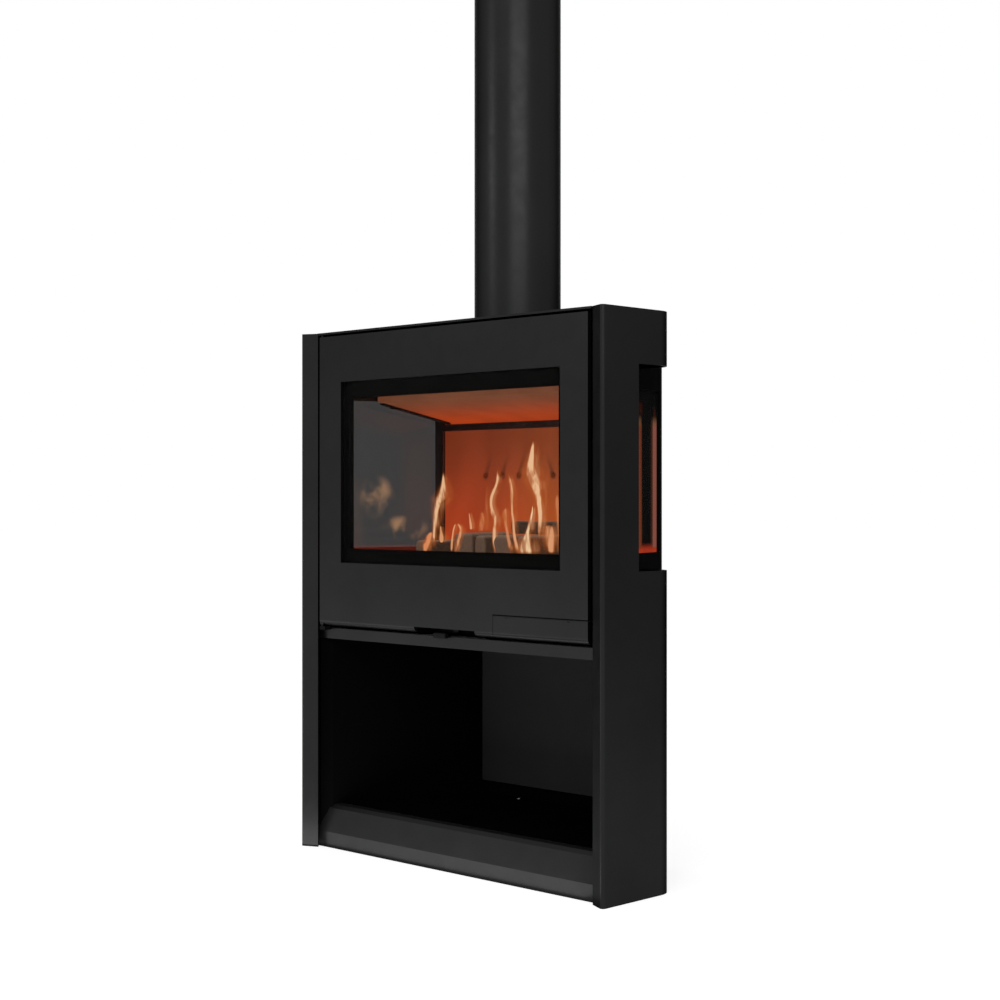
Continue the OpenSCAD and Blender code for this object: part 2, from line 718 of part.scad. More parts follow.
// Side view of the door's face plate with its rolled lower edge, in (y, z)
module face_profile(top_z) {
  translate([y_at(face_d), door_bottom + door_edge_r]) square([door_t, top_z - door_bottom - door_edge_r]);
  intersection() {
    translate([y_at(face_d) + door_edge_r, door_bottom + door_edge_r]) difference() {
      circle(door_edge_r);
      circle(door_edge_r - door_t);
    }
    translate([y_at(face_d), door_bottom]) square(door_edge_r);
  }
}
module door_panel() color(paint) difference() {
  union() {
    along_x(-door_half, door_half) face_profile(door_top);
    block([-door_half, y_at(face_d) + 1, door_bottom + door_edge_r],
      [-door_half + stile_w, y_at(face_d) + stile_t, door_top]);
    block([door_half - 3, y_at(face_d) + 1, flap_top + 12], [door_half, y_at(face_d) + stile_t, door_top]);
    // Hinge block at the lower corner
    block([-door_half, y_at(face_d) + 1, door_bottom + 1],
      [-door_half + stile_w, y_at(face_d) + stile_t, door_bottom + door_edge_r + over]);
  }
  block([-window_w / 2, y_at(face_d) - over, window_bottom], [window_w / 2, door_back_y + over, window_top]);
  block([-slot_w / 2, y_at(face_d) - over, door_bottom - over],
    [slot_w / 2, y_at(face_d) + 20, door_bottom + door_edge_r]);
  block([flap_x0 - flap_gap, y_at(face_d) - over, door_bottom - over],
    [door_half + over, y_at(face_d) + 20, flap_top + flap_gap]);
  rod_z(hinge_pin_r + running_gap, hinge_x, hinge_y, door_bottom - over, door_bottom + pin_run);
  rod_z(hinge_pin_r + running_gap, hinge_x, hinge_y, door_top - pin_run, door_top + over);
}
// Rope seal between the door and the front frame
rope_gap = 6;
rope_w = 10;
rope_inset = 8;
inner_x = door_half - 23.5;
inner_low = door_bottom + 50;
inner_top = door_top - 7;
glass_lap = 9;
glass_gap = 1.5;
glass_x = window_w / 2 + glass_lap;
glass_low = window_bottom - glass_lap;
glass_top = window_top + glass_lap;
inner_back_y = y_at(front_frame_d) - rope_gap;
sight_x = window_w / 2 - 12.5;
module door_inner_frame() color(dark_paint) difference() {
  block([-inner_x, door_back_y, inner_low], [inner_x, inner_back_y, inner_top]);
  block([-glass_x - glass_gap, door_back_y - over, glass_low - glass_gap],
    [glass_x + glass_gap, door_back_y + glass_t + seal_t, glass_top + glass_gap]);
  block([-sight_x, door_back_y - over, pane_bottom], [sight_x, inner_back_y + over, pane_top]);
}
module door_glass() color(pane)
  block([-glass_x, door_back_y, glass_low], [glass_x, door_back_y + glass_t, glass_top]);
module frame_ring(x0, x1, z0, z1, w, y0, y1) difference() {
  block([x0, y0, z0], [x1, y1, z1]);
  block([x0 + w, y0 - over, z0 + w], [x1 - w, y1 + over, z1 - w]);
}
module door_glass_seal() color("#8f8b82")
  frame_ring(-glass_x, glass_x, glass_low, glass_top, side_lap,
    door_back_y + glass_t, door_back_y + glass_t + seal_t);
module door_seal() color("#8f8b82")
  frame_ring(rope_inset - inner_x, inner_x - rope_inset, inner_low + rope_inset,
    inner_top - rope_inset, rope_w, inner_back_y, y_at(front_frame_d) - seat);
screw_x = sight_x + 11;
screw_step = 110;
module door_screws() color("#9a9a9a") both()
  for (i = [-1 : 1])
    rod_y(3.5, screw_x, inner_back_y, inner_back_y + 3,
      (pane_bottom + pane_top) / 2 + i * screw_step);
module hinge_pin_upper() color("#9a9a9a")
  rod_z(hinge_pin_r, hinge_x, hinge_y, door_top - pin_run + 2, body_h);
hinge_low = shelf_top_z - 3;
hinge_top = door_bottom - 2;
module hinge_pin_lower() color("#9a9a9a")
  rod_z(hinge_pin_r, hinge_x, hinge_y, hinge_low, door_bottom + pin_run - 2);
module hinge_bracket() color(dark_paint) difference() {
  block([-door_half, y_at(face_d) + 0.5, hinge_low], [-door_half + 14, y_at(shelf_d), hinge_top]);
  rod_z(hinge_pin_r, hinge_x, hinge_y, hinge_low - over, hinge_top + over);
}

// ---- Handle flap and catch ----
module lug(x) difference() {
  union() {
    rod_x(door_t / 2, x - lug_t / 2, x + lug_t / 2, flap_axis_y, flap_axis_z);
    block([x - lug_t / 2, flap_axis_y, flap_axis_z],
      [x + lug_t / 2, door_back_y + 5, flap_axis_z + door_t / 2]);
    block([x - lug_t / 2, door_back_y, flap_axis_z], [x + lug_t / 2, door_back_y + 5, flap_top + 10]);
  }
  rod_x(handle_pin_r + 0.02, x - lug_t, x + lug_t, flap_axis_y, flap_axis_z);
}
module handle_lugs() color(paint) for (x = lug_x) lug(x);
module handle_pin() color("#9a9a9a")
  rod_x(handle_pin_r, flap_x0 + 6, door_half - 6, flap_axis_y, flap_axis_z);
module handle_flap() color(paint) difference() {
  union() {
    along_x(flap_x0, door_half) face_profile(flap_axis_z);
    rod_x(door_t / 2, flap_x0, door_half, flap_axis_y, flap_axis_z);
  }
  for (x = lug_x) rod_x(door_t / 2 + lug_gap, x - lug_t / 2 - lug_gap, x + lug_t / 2 + lug_gap,
    flap_axis_y, flap_axis_z);
  rod_x(handle_pin_r + running_gap, flap_x0 + 5, door_half - 5, flap_axis_y, flap_axis_z);
}
arm_x = door_half - 26;
roller_r = 5;
roller_y = y_at(front_frame_d) - 6;
roller_z = flap_axis_z - 7;
module catch_arm() color("#6c6c6c") {
  difference() {
    block([arm_x - 1.5, door_back_y, roller_z - 9], [arm_x + 1.5, roller_y + 4, roller_z + 2.5]);
    rod_x(1.5, arm_x - 2, arm_x + 2, roller_y, roller_z);
  }
  block([arm_x - 10, door_back_y, roller_z - 9], [arm_x - 1.5, door_back_y + 2, roller_z - 2]);
}
module catch_roller() color("#9a9a9a") {
  rod_x(1.5, arm_x - 1.5, arm_x + 2, roller_y, roller_z);
  rod_x(roller_r, arm_x + 2, arm_x + 9, roller_y, roller_z);
}
ledge_z = roller_z + roller_r + seat;
module catch_ledge() color("#6c6c6c")
  block([arm_x - 4, roller_y - 4, ledge_z], [arm_x + 14, y_at(front_frame_d), ledge_z + 3]);

// ---- Firewood and screws ----
// Split logs: place, height over the floor slabs, turn about the vertical, and size
logs = [
  [[-63, 172, 0], 4, [44, 112, 47]],
  [[-166, 170, 0], -8, [24, 104, 32]],
  [[-14, 168, 0], -3, [26, 104, 43]],
  [[34, 165, 0], 10, [40, 110, 44]],
  [[88, 170, 0], -6, [34, 100, 44]],
  [[66, 172, 44.3], 82, [24, 116, 24]]
];
module firewood() color("#5b4632") for (l = logs)
  translate([l[0][0], y_at(l[0][1]), floor_top + l[0][2] + l[2][2] / 2]) rotate([0, 0, l[1]])
    cube(l[2], center = true);
screw_r = 4;
screw_h = 2.5;
floor_screw_x = 111;
rear_screw_x = shell_rear[0] - 18;
rear_screw_z = [shelf_top_z + 27, base_z + 60, roof_z - 150, roof_z + 10];
module body_screws() color("#9a9a9a") both() {
  rod_z(screw_r, floor_screw_x, y_at(body_d - 18), store_floor_z, store_floor_z + screw_h);
  for (z = rear_screw_z) rod_y(screw_r, rear_screw_x, y_at(shell_d), y_at(body_d), z);
}

column_left();
column_right();
top_plate();
rear_shield();
firebox_base();
firebox_roof();
firebox_back();
front_frame();
side_frame_left();
side_frame_right();
side_glass_left();
side_glass_right();
side_seal_left();
side_seal_right();
side_glass_clips();
back_liner();
floor_liner();
grate();
log_guard();
baffle();
baffle_tube();
baffle_brackets();
rear_angles();
flue_collar();
flue_pipe();
air_box();
fresh_air_spigot();
air_slide();
air_lever();
air_knob();
ash_pan();
shelf();
store_wall_left();
store_wall_right();
store_back();
store_back_panel();
store_floor();
plinth();
base_runners();
levelling_feet();
hinge_pin_upper();
hinge_pin_lower();
hinge_bracket();
catch_ledge();
door_panel();
door_inner_frame();
door_glass();
door_glass_seal();
door_seal();
door_screws();
handle_lugs();
handle_pin();
handle_flap();
catch_arm();
catch_roller();
firewood();
body_screws();
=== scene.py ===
import math

import bpy
import numpy as np
from bpy.props import FloatProperty, FloatVectorProperty, IntProperty, PointerProperty
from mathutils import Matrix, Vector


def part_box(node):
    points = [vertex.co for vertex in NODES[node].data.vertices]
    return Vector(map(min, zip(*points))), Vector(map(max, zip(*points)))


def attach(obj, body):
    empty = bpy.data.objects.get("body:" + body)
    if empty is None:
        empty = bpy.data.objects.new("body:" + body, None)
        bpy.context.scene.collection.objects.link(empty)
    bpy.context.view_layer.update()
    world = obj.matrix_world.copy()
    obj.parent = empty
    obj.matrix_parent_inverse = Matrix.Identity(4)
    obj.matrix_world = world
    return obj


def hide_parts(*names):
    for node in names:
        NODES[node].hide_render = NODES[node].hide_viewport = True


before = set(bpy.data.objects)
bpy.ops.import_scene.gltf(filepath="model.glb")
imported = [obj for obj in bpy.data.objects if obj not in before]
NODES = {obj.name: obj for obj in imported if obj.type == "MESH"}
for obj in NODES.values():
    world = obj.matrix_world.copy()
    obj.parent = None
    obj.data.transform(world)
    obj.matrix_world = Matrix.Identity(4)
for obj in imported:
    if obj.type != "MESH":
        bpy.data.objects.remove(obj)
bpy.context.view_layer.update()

bl_info = {
    "name": "Glazed wood stove looks",
    "version": (1, 0, 0),
    "blender": (4, 5, 0),
    "location": "3D View > Sidebar > Stove",
    "description": "Finishes, fire and fittings for a glazed wood stove with a log store",
    "category": "Object",
}

MM = 0.001


def grey(level):
    return (level,) * 3


# Nodes by finish
PAINTED = [
    "column_left", "column_right", "top_plate", "rear_shield", "flue_pipe", "shelf",
    "door_panel", "handle_flap", "handle_lugs",
]
DARK = [
    "firebox_base", "firebox_roof", "firebox_back", "side_frame_left", "side_frame_right",
    "side_glass_clips", "flue_collar", "air_box", "base_runners", "hinge_bracket",
]
# Soot black: real soot on the frames round the fire, and painted shade on the log store's floor
SOOTY_AND_SHADED = ["front_frame", "door_inner_frame", "store_floor"]
# Log store sheets, dead black inside as painted shade
STORE = ["store_wall_left", "store_wall_right", "store_back"]
BARE = [
    "fresh_air_spigot", "ash_pan", "catch_ledge", "handle_pin", "catch_arm", "catch_roller",
]
# Blackened steel, which on the hinge pins is painted shade for the dark gap beside the door
BLACKENED_AND_SHADED = ["air_slide", "air_lever", "hinge_pin_upper", "hinge_pin_lower"]
CAST = ["grate", "log_guard"]
SCALED = ["baffle_tube", "baffle_brackets", "rear_angles"]
LINING = ["back_liner", "floor_liner", "baffle"]
SIDE_GLASS = ["side_glass_left", "side_glass_right"]
FLAT_SEALS = ["side_seal_left", "side_seal_right", "door_glass_seal"]

# Colours of the finishes that have no setting, as linear values
# The first grey is soot on the fire's frames and painted shade inside the log store
SOOT_AND_SHADE = grey(0.002)
BACK_PANEL = grey(0.027)
# The blackening is also painted shade on the hinge pins
BLACKENING_AND_SHADE = grey(0.010)
IRON, IRON_SCALE = (0.02, 0.019, 0.018), (0.05, 0.042, 0.036)
SCORCHED, SCORCHED_SCALE = (0.018, 0.010, 0.008), (0.030, 0.015, 0.010)
TAPE = grey(0.006)
ROPE, BLACK_ROPE = (0.20, 0.19, 0.17), grey(0.006)
SCREW, BLACK_SCREW, ZINC = (0.22, 0.22, 0.23), grey(0.10), (0.30, 0.30, 0.31)
KNOB = grey(0.012)

# Paint: share of metal pigment, roughness, and how little it brightens at a slant
SHEEN, LOW_SHEEN = 0.85, 0.6
SMOOTH, EVEN = 0.33, 0.5
SLANT = grey(0.4)

# Lining: height of the row of air holes, their pitch and the row's half length; the tops
# of the floor lining and of the walls
HOLE_Z, HOLE_PITCH, HOLE_ROW = 0.677, 0.0425, 0.17
FLOOR_Z, WALL_Z = 0.5282, 0.768

# Side panes: edges of the near strip of painted fire light, the far one's edge, the strips' top,
# and the patches of the flames' painted reflection (middle in Y and Z, half width, half height)
PAINTED_NEAR_STRIP, PAINTED_FAR_STRIP, PAINTED_STRIP_TOP = (0.012, 0.031), 0.0745, 0.750
PAINTED_REFLECTION_PATCHES = [(-0.039, 0.638, 0.036, 0.042), (0.016, 0.580, 0.048, 0.026)]


# ---- Settings ----


class StoveFinishes(bpy.types.PropertyGroup):
    """Colours of the stove's finishes"""

    paint: FloatVectorProperty(
        name="Paint", description="Matt heat-resistant paint outside", subtype="COLOR",
        size=3, min=0, max=1, default=(0.0200, 0.0200, 0.0201))
    dark_paint: FloatVectorProperty(
        name="Inner paint", description="Paint on the hidden sheets", subtype="COLOR",
        size=3, min=0, max=1, default=grey(0.008))
    steel: FloatVectorProperty(
        name="Bare steel", description="Unpainted fittings", subtype="COLOR",
        size=3, min=0, max=1, default=(0.33, 0.33, 0.34))
    lining: FloatVectorProperty(
        name="Lining", description="Clean fire lining", subtype="COLOR",
        size=3, min=0, max=1, default=(0.10, 0.055, 0.035))
    flame: FloatVectorProperty(
        name="Hot flame", description="Colour in the middle of a hot flame", subtype="COLOR",
        size=3, min=0, max=1, default=(0.97, 0.68, 0.40))
    cool_flame: FloatVectorProperty(
        name="Cool flame", description="Colour in the middle of a cool flame", subtype="COLOR",
        size=3, min=0, max=1, default=(0.82, 0.22, 0.06))
    flame_edge: FloatVectorProperty(
        name="Flame edge", description="Colour at the edge of a flame", subtype="COLOR",
        size=3, min=0, max=1, default=(0.55, 0.13, 0.02))


class StoveSizes(bpy.types.PropertyGroup):
    """Sizes of the pieces that are made here"""

    flame_height: FloatProperty(
        name="Flame height", description="Height of the tallest flame over the fire's floor",
        unit="LENGTH", default=0.208, min=0.1, max=0.23)
    bark: FloatProperty(
        name="Log roughness", description="How far the split faces stand in and out",
        unit="LENGTH", default=1.4 * MM, min=0, max=3 * MM)
    rope_turns: IntProperty(
        name="Rope strands", description="Strands that a line along four metres crosses",
        default=150, min=50, max=300)


# ---- Meshes ----


def circle(count):
    """Angles evenly round a circle, as one row."""
    return np.linspace(0, 2 * np.pi, count, endpoint=False)[None, :]


def shown(batch, name, material, body, slot, *replaced):
    """Makes a piece, puts it on its body and hides the nodes it stands for."""
    obj = batch.object(name)
    obj.data.materials.append(material)
    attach(obj, body)
    if replaced:
        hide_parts(*replaced)


def link(name, verts, faces):
    mesh = bpy.data.meshes.new(name)
    mesh.from_pydata(verts.tolist(), [], faces)
    mesh.update()
    mesh.polygons.foreach_set("use_smooth", np.full(len(mesh.polygons), True))
    obj = bpy.data.objects.new(name, mesh)
    bpy.context.scene.collection.objects.link(obj)
    return obj


def quads(rows, cols, wrap_rows, wrap_cols, start):
    """Faces of a grid: each joins a point to the next in its row and column."""
    r = np.arange(rows if wrap_rows else rows - 1)
    c = np.arange(cols if wrap_cols else cols - 1)
    r, c = (v.ravel() for v in np.meshgrid(r, c, indexing="ij"))
    r2, c2 = (r + 1) % rows, (c + 1) % cols
    row, row2 = start + r * cols, start + r2 * cols
    return np.stack([row + c, row + c2, row2 + c2, row2 + c], axis=1)


class Batch:
    """Collects several grids into one mesh."""

    def __init__(self):
        self.points, self.faces, self.values, self.count = [], [], {}, 0

    def add(self, grid, wrap_rows=False, wrap_cols=False, caps=False, flip=False, **values):
        rows, cols = grid.shape[:2]
        faces = quads(rows, cols, wrap_rows, wrap_cols, self.count)
        faces = (faces[:, ::-1] if flip else faces).tolist()
        if caps:
            first = (self.count + np.arange(cols)).tolist()
            last = (self.count + (rows - 1) * cols + np.arange(cols)).tolist()
            ends = [first[::-1], last]
            faces += [e[::-1] for e in ends] if flip else ends
        self.points.append(grid.reshape(-1, 3))
        self.faces += faces
        self.count += rows * cols
        for key, value in values.items():
            self.values.setdefault(key, []).append(np.broadcast_to(value, (rows, cols)).ravel())

    def object(self, name):
        obj = link(name, np.concatenate(self.points), self.faces)
        for key, parts in self.values.items():
            layer = obj.data.attributes.new(key, "FLOAT", "POINT")
            layer.data.foreach_set("value", np.concatenate(parts).astype(np.float32))
        return obj


def ripples(a, b, seed, waves=9, top=6.0):
    """Smooth random relief between -1 and 1: a sum of sine waves across two parameters."""
    r = np.random.default_rng(seed)
    out = np.zeros(np.broadcast(a, b).shape)
    for _ in range(waves):
        fa, fb = r.uniform(0.4, top, 2)
        out = out + r.uniform(0.3, 1) * np.sin(2 * np.pi * (fa * a + fb * b) + r.uniform(0, 6.3))
    return out / (0.5 * waves)


# ---- Materials ----


class Shader:
    """A node tree with the few calls that the finishes here need."""

    def __init__(self, name):
        self.material = bpy.data.materials.new(name)
        self.material.use_nodes = True
        self.tree = self.material.node_tree
        self.bsdf = self.tree.nodes["Principled BSDF"]
        self.out = self.tree.nodes["Material Output"]
        self.coords = self.node("ShaderNodeTexCoord").outputs["Object"]

    def node(self, kind, **settings):
        n = self.tree.nodes.new(kind)
        for key, value in settings.items():
            setattr(n, key, value)
        return n

    def join(self, a, b):
        self.tree.links.new(a, b)

    def put(self, socket, value):
        """A number is set on the socket, and another node's output is joined to it."""
        if isinstance(value, bpy.types.NodeSocket):
            self.join(value, socket)
        elif isinstance(value, (tuple, list)) and socket.type == "RGBA" and len(value) == 3:
            socket.default_value = (*value, 1)
        else:
            socket.default_value = value

    def set(self, **values):
        for key, value in values.items():
            self.put(self.bsdf.inputs[key.replace("_", " ")], value)

    def mapped(self, *scale):
        m = self.node("ShaderNodeMapping")
        self.join(self.coords, m.inputs["Vector"])
        m.inputs["Scale"].default_value = scale
        return m.outputs["Vector"]

    def noise(self, scale, detail=3.0, rough=0.5, vector=None):
        n = self.node("ShaderNodeTexNoise")
        self.join(vector or self.coords, n.inputs["Vector"])
        n.inputs["Scale"].default_value = scale
        n.inputs["Detail"].default_value = detail
        n.inputs["Roughness"].default_value = rough
        return n.outputs["Fac"]

    def cells(self, scale, vector=None, feature="F1"):
        n = self.node("ShaderNodeTexVoronoi", feature=feature)
        self.join(vector or self.coords, n.inputs["Vector"])
        n.inputs["Scale"].default_value = scale
        return n.outputs["Distance"]

    def spread(self, value, low, high, to_low=0.0, to_high=1.0):
        n = self.node("ShaderNodeMapRange")
        n.interpolation_type = "SMOOTHSTEP"
        for key, v in zip(("Value", "From Min", "From Max", "To Min", "To Max"),
                          (value, low, high, to_low, to_high)):
            self.put(n.inputs[key], v)
        return n.outputs["Result"]

    def math(self, kind, a, b=0.0):
        n = self.node("ShaderNodeMath", operation=kind)
        self.put(n.inputs[0], a)
        self.put(n.inputs[1], b)
        return n.outputs[0]

    def plus(self, a, b):
        return self.math("ADD", a, b)

    def minus(self, a, b):
        return self.math("SUBTRACT", a, b)

    def times(self, first, *rest):
        for value in rest:
            first = self.math("MULTIPLY", first, value)
        return first

    def most(self, first, *rest):
        for value in rest:
            first = self.math("MAXIMUM", first, value)
        return first

    def mix(self, fac, a, b):
        n = self.node("ShaderNodeMix", data_type="RGBA")
        self.put(n.inputs["Factor"], fac)
        self.put([s for s in n.inputs if s.name == "A" and s.type == "RGBA"][0], a)
        self.put([s for s in n.inputs if s.name == "B" and s.type == "RGBA"][0], b)
        return [s for s in n.outputs if s.type == "RGBA"][0]

    def parts(self, vector):
        n = self.node("ShaderNodeSeparateXYZ")
        self.join(vector, n.inputs[0])
        return n.outputs

    def facing(self):
        return self.parts(self.node("ShaderNodeNewGeometry").outputs["Normal"])

    def seen(self):
        """1 where the eye sees a thing, straight, in a mirror or through glass, and else 0."""
        return self.most(*seen_rays(self.node("ShaderNodeLightPath")))

    def value(self, name):
        n = self.node("ShaderNodeAttribute", attribute_name=name)
        return n.outputs["Fac"]

    def bump(self, height, distance, strength):
        n = self.node("ShaderNodeBump")
        self.put(n.inputs["Height"], height)
        n.inputs["Distance"].default_value = distance
        n.inputs["Strength"].default_value = strength
        self.join(n.outputs["Normal"], self.bsdf.inputs["Normal"])
        return self


def seen_rays(path):
    return [path.outputs["Is %s Ray" % kind] for kind in ("Camera", "Transmission", "Glossy")]


def shade(colour, factor):
    return tuple(min(1.0, c * factor) for c in colour)


def paint(name, colour, rough, sheen=SHEEN):
    """Sprayed paint full of metal pigment: fine grain, a slow drift in tone and a
    slightly uneven sheen. It stays dark at a slant, so its edges don't flare."""
    s = Shader(name)
    grain = s.noise(2600, 2, 0.6)
    drift = s.noise(5, 3, 0.5)
    tone = s.plus(s.times(grain, 0.5), s.times(drift, 0.5))
    s.set(Base_Color=s.mix(s.spread(tone, 0.3, 0.7), shade(colour, 0.88), shade(colour, 1.12)),
          Roughness=s.spread(s.noise(40, 4, 0.6), 0.3, 0.7, rough - 0.03, rough + 0.04),
          Metallic=sheen, Specular_IOR_Level=0.0, Specular_Tint=SLANT)
    return s.bump(grain, 0.04 * MM, 0.3).material


def soot_and_shade_black(name, colour):
    """Dead matt black that swallows light, with a faint cloudiness: soot on the frames round the
    fire, and painted shade on the log store's floor.
    """
    s = Shader(name)
    cloud = s.noise(12, 3, 0.5)
    s.set(Base_Color=s.mix(s.spread(cloud, 0.3, 0.7), shade(colour, 0.8), shade(colour, 1.2)),
          Roughness=0.85, Specular_IOR_Level=0.0)
    return s.bump(s.noise(1800, 2, 0.6), 0.03 * MM, 0.2).material


def store_sheet_with_painted_shade(name, inside, outside):
    """Sheet of the log store: dead black as painted shade on the faces that look forwards into it,
    and painted like the rest of the stove on the faces that look back."""
    s = Shader(name)
    # 0 on the faces that look forwards, which take the painted shade, and 1 on those that look
    # back
    rear = s.spread(s.facing()[1], 0.0, 0.3)
    cloud = s.spread(s.noise(12, 3, 0.5), 0.3, 0.7)
    painted = s.mix(cloud, shade(outside, 0.88), shade(outside, 1.12))
    s.set(Base_Color=s.mix(rear, inside, painted),
          Roughness=s.spread(rear, 0, 1, 0.85, 0.35), Metallic=s.spread(rear, 0, 1, 0.0, SHEEN),
          Specular_IOR_Level=0.0, Specular_Tint=SLANT)
    return s.material


def bare_steel(name, colour):
    """Rolled steel: lines along the sheet, and faint heat and finger marks."""
    s = Shader(name)
    lines = s.noise(60, 3, 0.6, s.mapped(1, 1, 30))
    marks = s.noise(25, 4, 0.6)
    s.set(Base_Color=s.mix(s.spread(marks, 0.3, 0.75), shade(colour, 0.7), colour),
          Metallic=1.0, Roughness=s.spread(lines, 0.3, 0.7, 0.32, 0.5))
    return s.bump(lines, 0.03 * MM, 0.4).material


def cast_iron(name, colour, scale_colour):
    """Sand-cast iron with soot and scale: coarse grain over slow lumps."""
    s = Shader(name)
    grain = s.noise(900, 5, 0.7)
    lumps = s.noise(90, 3, 0.5)
    s.set(Base_Color=s.mix(s.spread(lumps, 0.35, 0.7), colour, scale_colour),
          Metallic=0.3, Roughness=s.spread(grain, 0.3, 0.7, 0.65, 0.9), Specular_IOR_Level=0.3)
    return s.bump(s.plus(grain, lumps), 0.25 * MM, 0.6).material


def lining(name, clean):
    """Pressed flake lining with the fire's light painted on it as a glow. The painted light is
    strongest low down, fades upwards, is redder on the left, and is dimmer towards the far sides
    and on the floor lining. Each air hole sits in a spot of soot, and a streak of soot leans from
    it up towards the middle; the soot is cut out of the painted glow."""
    s = Shader(name)
    x, y, z = s.parts(s.coords)
    side = s.math("ABSOLUTE", x)
    flakes = s.cells(420)
    drift = s.noise(11, 4, 0.5, s.mapped(1.6, 1.6, 0.5))
    dirt = s.mix(s.spread(drift, 0.35, 0.75), clean, shade(clean, 0.5))

    # Colours of the painted fire light: on the walls, low and high, and on the baffle overhead
    right = s.spread(x, -0.2, 0.15)
    low = s.mix(right, (0.41, 0.042, 0.0075), (0.43, 0.088, 0.0115))
    high = s.mix(right, (0.186, 0.027, 0.0075), (0.244, 0.048, 0.012))
    wall = s.mix(s.spread(z, 0.55, 0.76), low, high)
    ceiling_glow = s.mix(s.spread(y, -0.07, 0.09), (0.145, 0.046, 0.020), (0.40, 0.042, 0.005))

    rise = s.minus(z, HOLE_Z)
    lean = s.times(s.most(rise, 0.0), 0.4)
    share = s.math("FRACT", s.math("DIVIDE", s.plus(side, lean), HOLE_PITCH))
    off = s.math("ABSOLUTE", s.times(s.minus(share, 0.5), HOLE_PITCH))
    reach = s.math("SQRT", s.plus(s.times(off, off), s.times(rise, rise)))
    spot = s.spread(reach, 0.004, 0.010, 0.7, 0.0)
    above = s.times(s.spread(rise, -0.002, 0.002), s.spread(rise, 0.0, 0.05, 1.0, 0.0))
    streak = s.times(s.spread(off, 0.001, 0.008, 0.55, 0.0), above)
    in_row = s.spread(side, HOLE_ROW - 0.005, HOLE_ROW + 0.005, 1.0, 0.0)
    mark = s.times(s.most(spot, streak), in_row)

    # Painted fire light: the glow drifts at random, fades at the far sides and is dimmer on the
    # floor lining
    glow_fade = s.times(s.spread(drift, 0.3, 0.75, 1.08, 0.88), s.spread(side, 0.27, 0.30, 1.0, 0.15))
    bed = s.spread(z, FLOOR_Z, FLOOR_Z + 0.0028, 0.25, 1.0)
    s.set(Base_Color=s.mix(s.spread(flakes, 0.15, 0.6), dirt, shade(clean, 0.85)),
          Roughness=0.92, Specular_IOR_Level=0.1,
          Emission_Color=s.mix(s.spread(z, WALL_Z, WALL_Z + 0.006), wall, ceiling_glow),
          Emission_Strength=s.times(glow_fade, bed, s.minus(1.0, mark)))
    return s.bump(flakes, 0.2 * MM, 0.4).material


def clear_glass(name):
    """Door pane: nearly clear, with a thin smoky film that thickens to its edges."""
    s = Shader(name)
    x, _, z = s.parts(s.coords)
    film = s.noise(14, 4, 0.6)
    edge = s.most(s.spread(s.math("ABSOLUTE", x), 0.23, 0.275),
                  s.spread(s.math("ABSOLUTE", s.minus(z, 0.68)), 0.12, 0.16))
    s.set(Base_Color=(0.01, 0.009, 0.008), Roughness=0.05, Specular_IOR_Level=0.1,
          Alpha=s.plus(0.05, s.plus(s.times(film, 0.03), s.times(edge, 0.05))))
    return s.material


def side_glass(name):
    """Side pane: grey glass with painted fire light on it. Its inner face holds a painted
    reflection of the flames in two patches, each an ellipse whose edge fades, broken up by cloudy
    noise. Its outer face has the fire's light painted on it as two upright strips, and the foot
    has a painted red glow on both faces."""
    s = Shader(name)
    x, y, z = s.parts(s.coords)
    outer = s.spread(s.times(s.facing()[0], s.math("SIGN", x)), -0.2, 0.2)
    # Masks of the two upright strips of painted fire light on the outer face
    near = s.times(s.spread(y, PAINTED_NEAR_STRIP[0], PAINTED_NEAR_STRIP[0] + 0.002),
                   s.spread(y, PAINTED_NEAR_STRIP[1] - 0.003, PAINTED_NEAR_STRIP[1], 1.0, 0.0))
    far = s.spread(y, PAINTED_FAR_STRIP, PAINTED_FAR_STRIP + 0.002)
    below_top = s.spread(z, PAINTED_STRIP_TOP, PAINTED_STRIP_TOP + 0.025, 1.0, 0.0)
    strips = s.times(outer, s.most(near, far), below_top)
    patches = []
    for mid_y, mid_z, wide, high in PAINTED_REFLECTION_PATCHES:
        u = s.math("DIVIDE", s.minus(y, mid_y), wide)
        v = s.math("DIVIDE", s.minus(z, mid_z), high)
        patches.append(s.spread(s.plus(s.times(u, u), s.times(v, v)), 0.1, 1.1, 1.0, 0.0))
    # Painted reflection of the flames, on the inner face only
    cloud = s.spread(s.noise(30, 3, 0.5, s.mapped(1, 1, 0.8)), 0.40, 0.72)
    painted_reflection = s.times(s.most(*patches), cloud, s.minus(1.0, outer))
    # Painted red glow along the foot
    foot = s.most(s.spread(z, 0.542, 0.551, 0.4, 0.0),
                  s.times(outer, s.spread(z, 0.547, 0.562, 1.4, 0.0)))
    # Colours of the painted fire light
    fire = s.mix(far, (0.130, 0.026, 0.012), (0.200, 0.062, 0.044))
    fire = s.mix(strips, (0.30, 0.15, 0.06), fire)
    painted_fire_light = s.most(painted_reflection, strips)
    s.set(Base_Color=grey(0.012), Roughness=0.10, IOR=1.6, Alpha=0.79,
          Emission_Color=s.mix(s.math("GREATER_THAN", foot, painted_fire_light), fire, (0.24, 0.020, 0.006)),
          Emission_Strength=s.most(foot, painted_fire_light))
    return s.material


def woven(name, colour):
    """Glass rope: slanting strands, with painted shade in the grooves between them, so they are
    lighter on their crests.
    """
    s = Shader(name)
    strands = s.value("strand")
    fuzz = s.noise(1500, 3, 0.7)
    # Painted shade: darker where the strand value falls into the grooves
    s.set(Base_Color=s.mix(s.times(strands, fuzz), shade(colour, 0.45), colour),
          Roughness=0.95, Sheen_Weight=0.2)
    return s.bump(fuzz, 0.15 * MM, 0.5).material


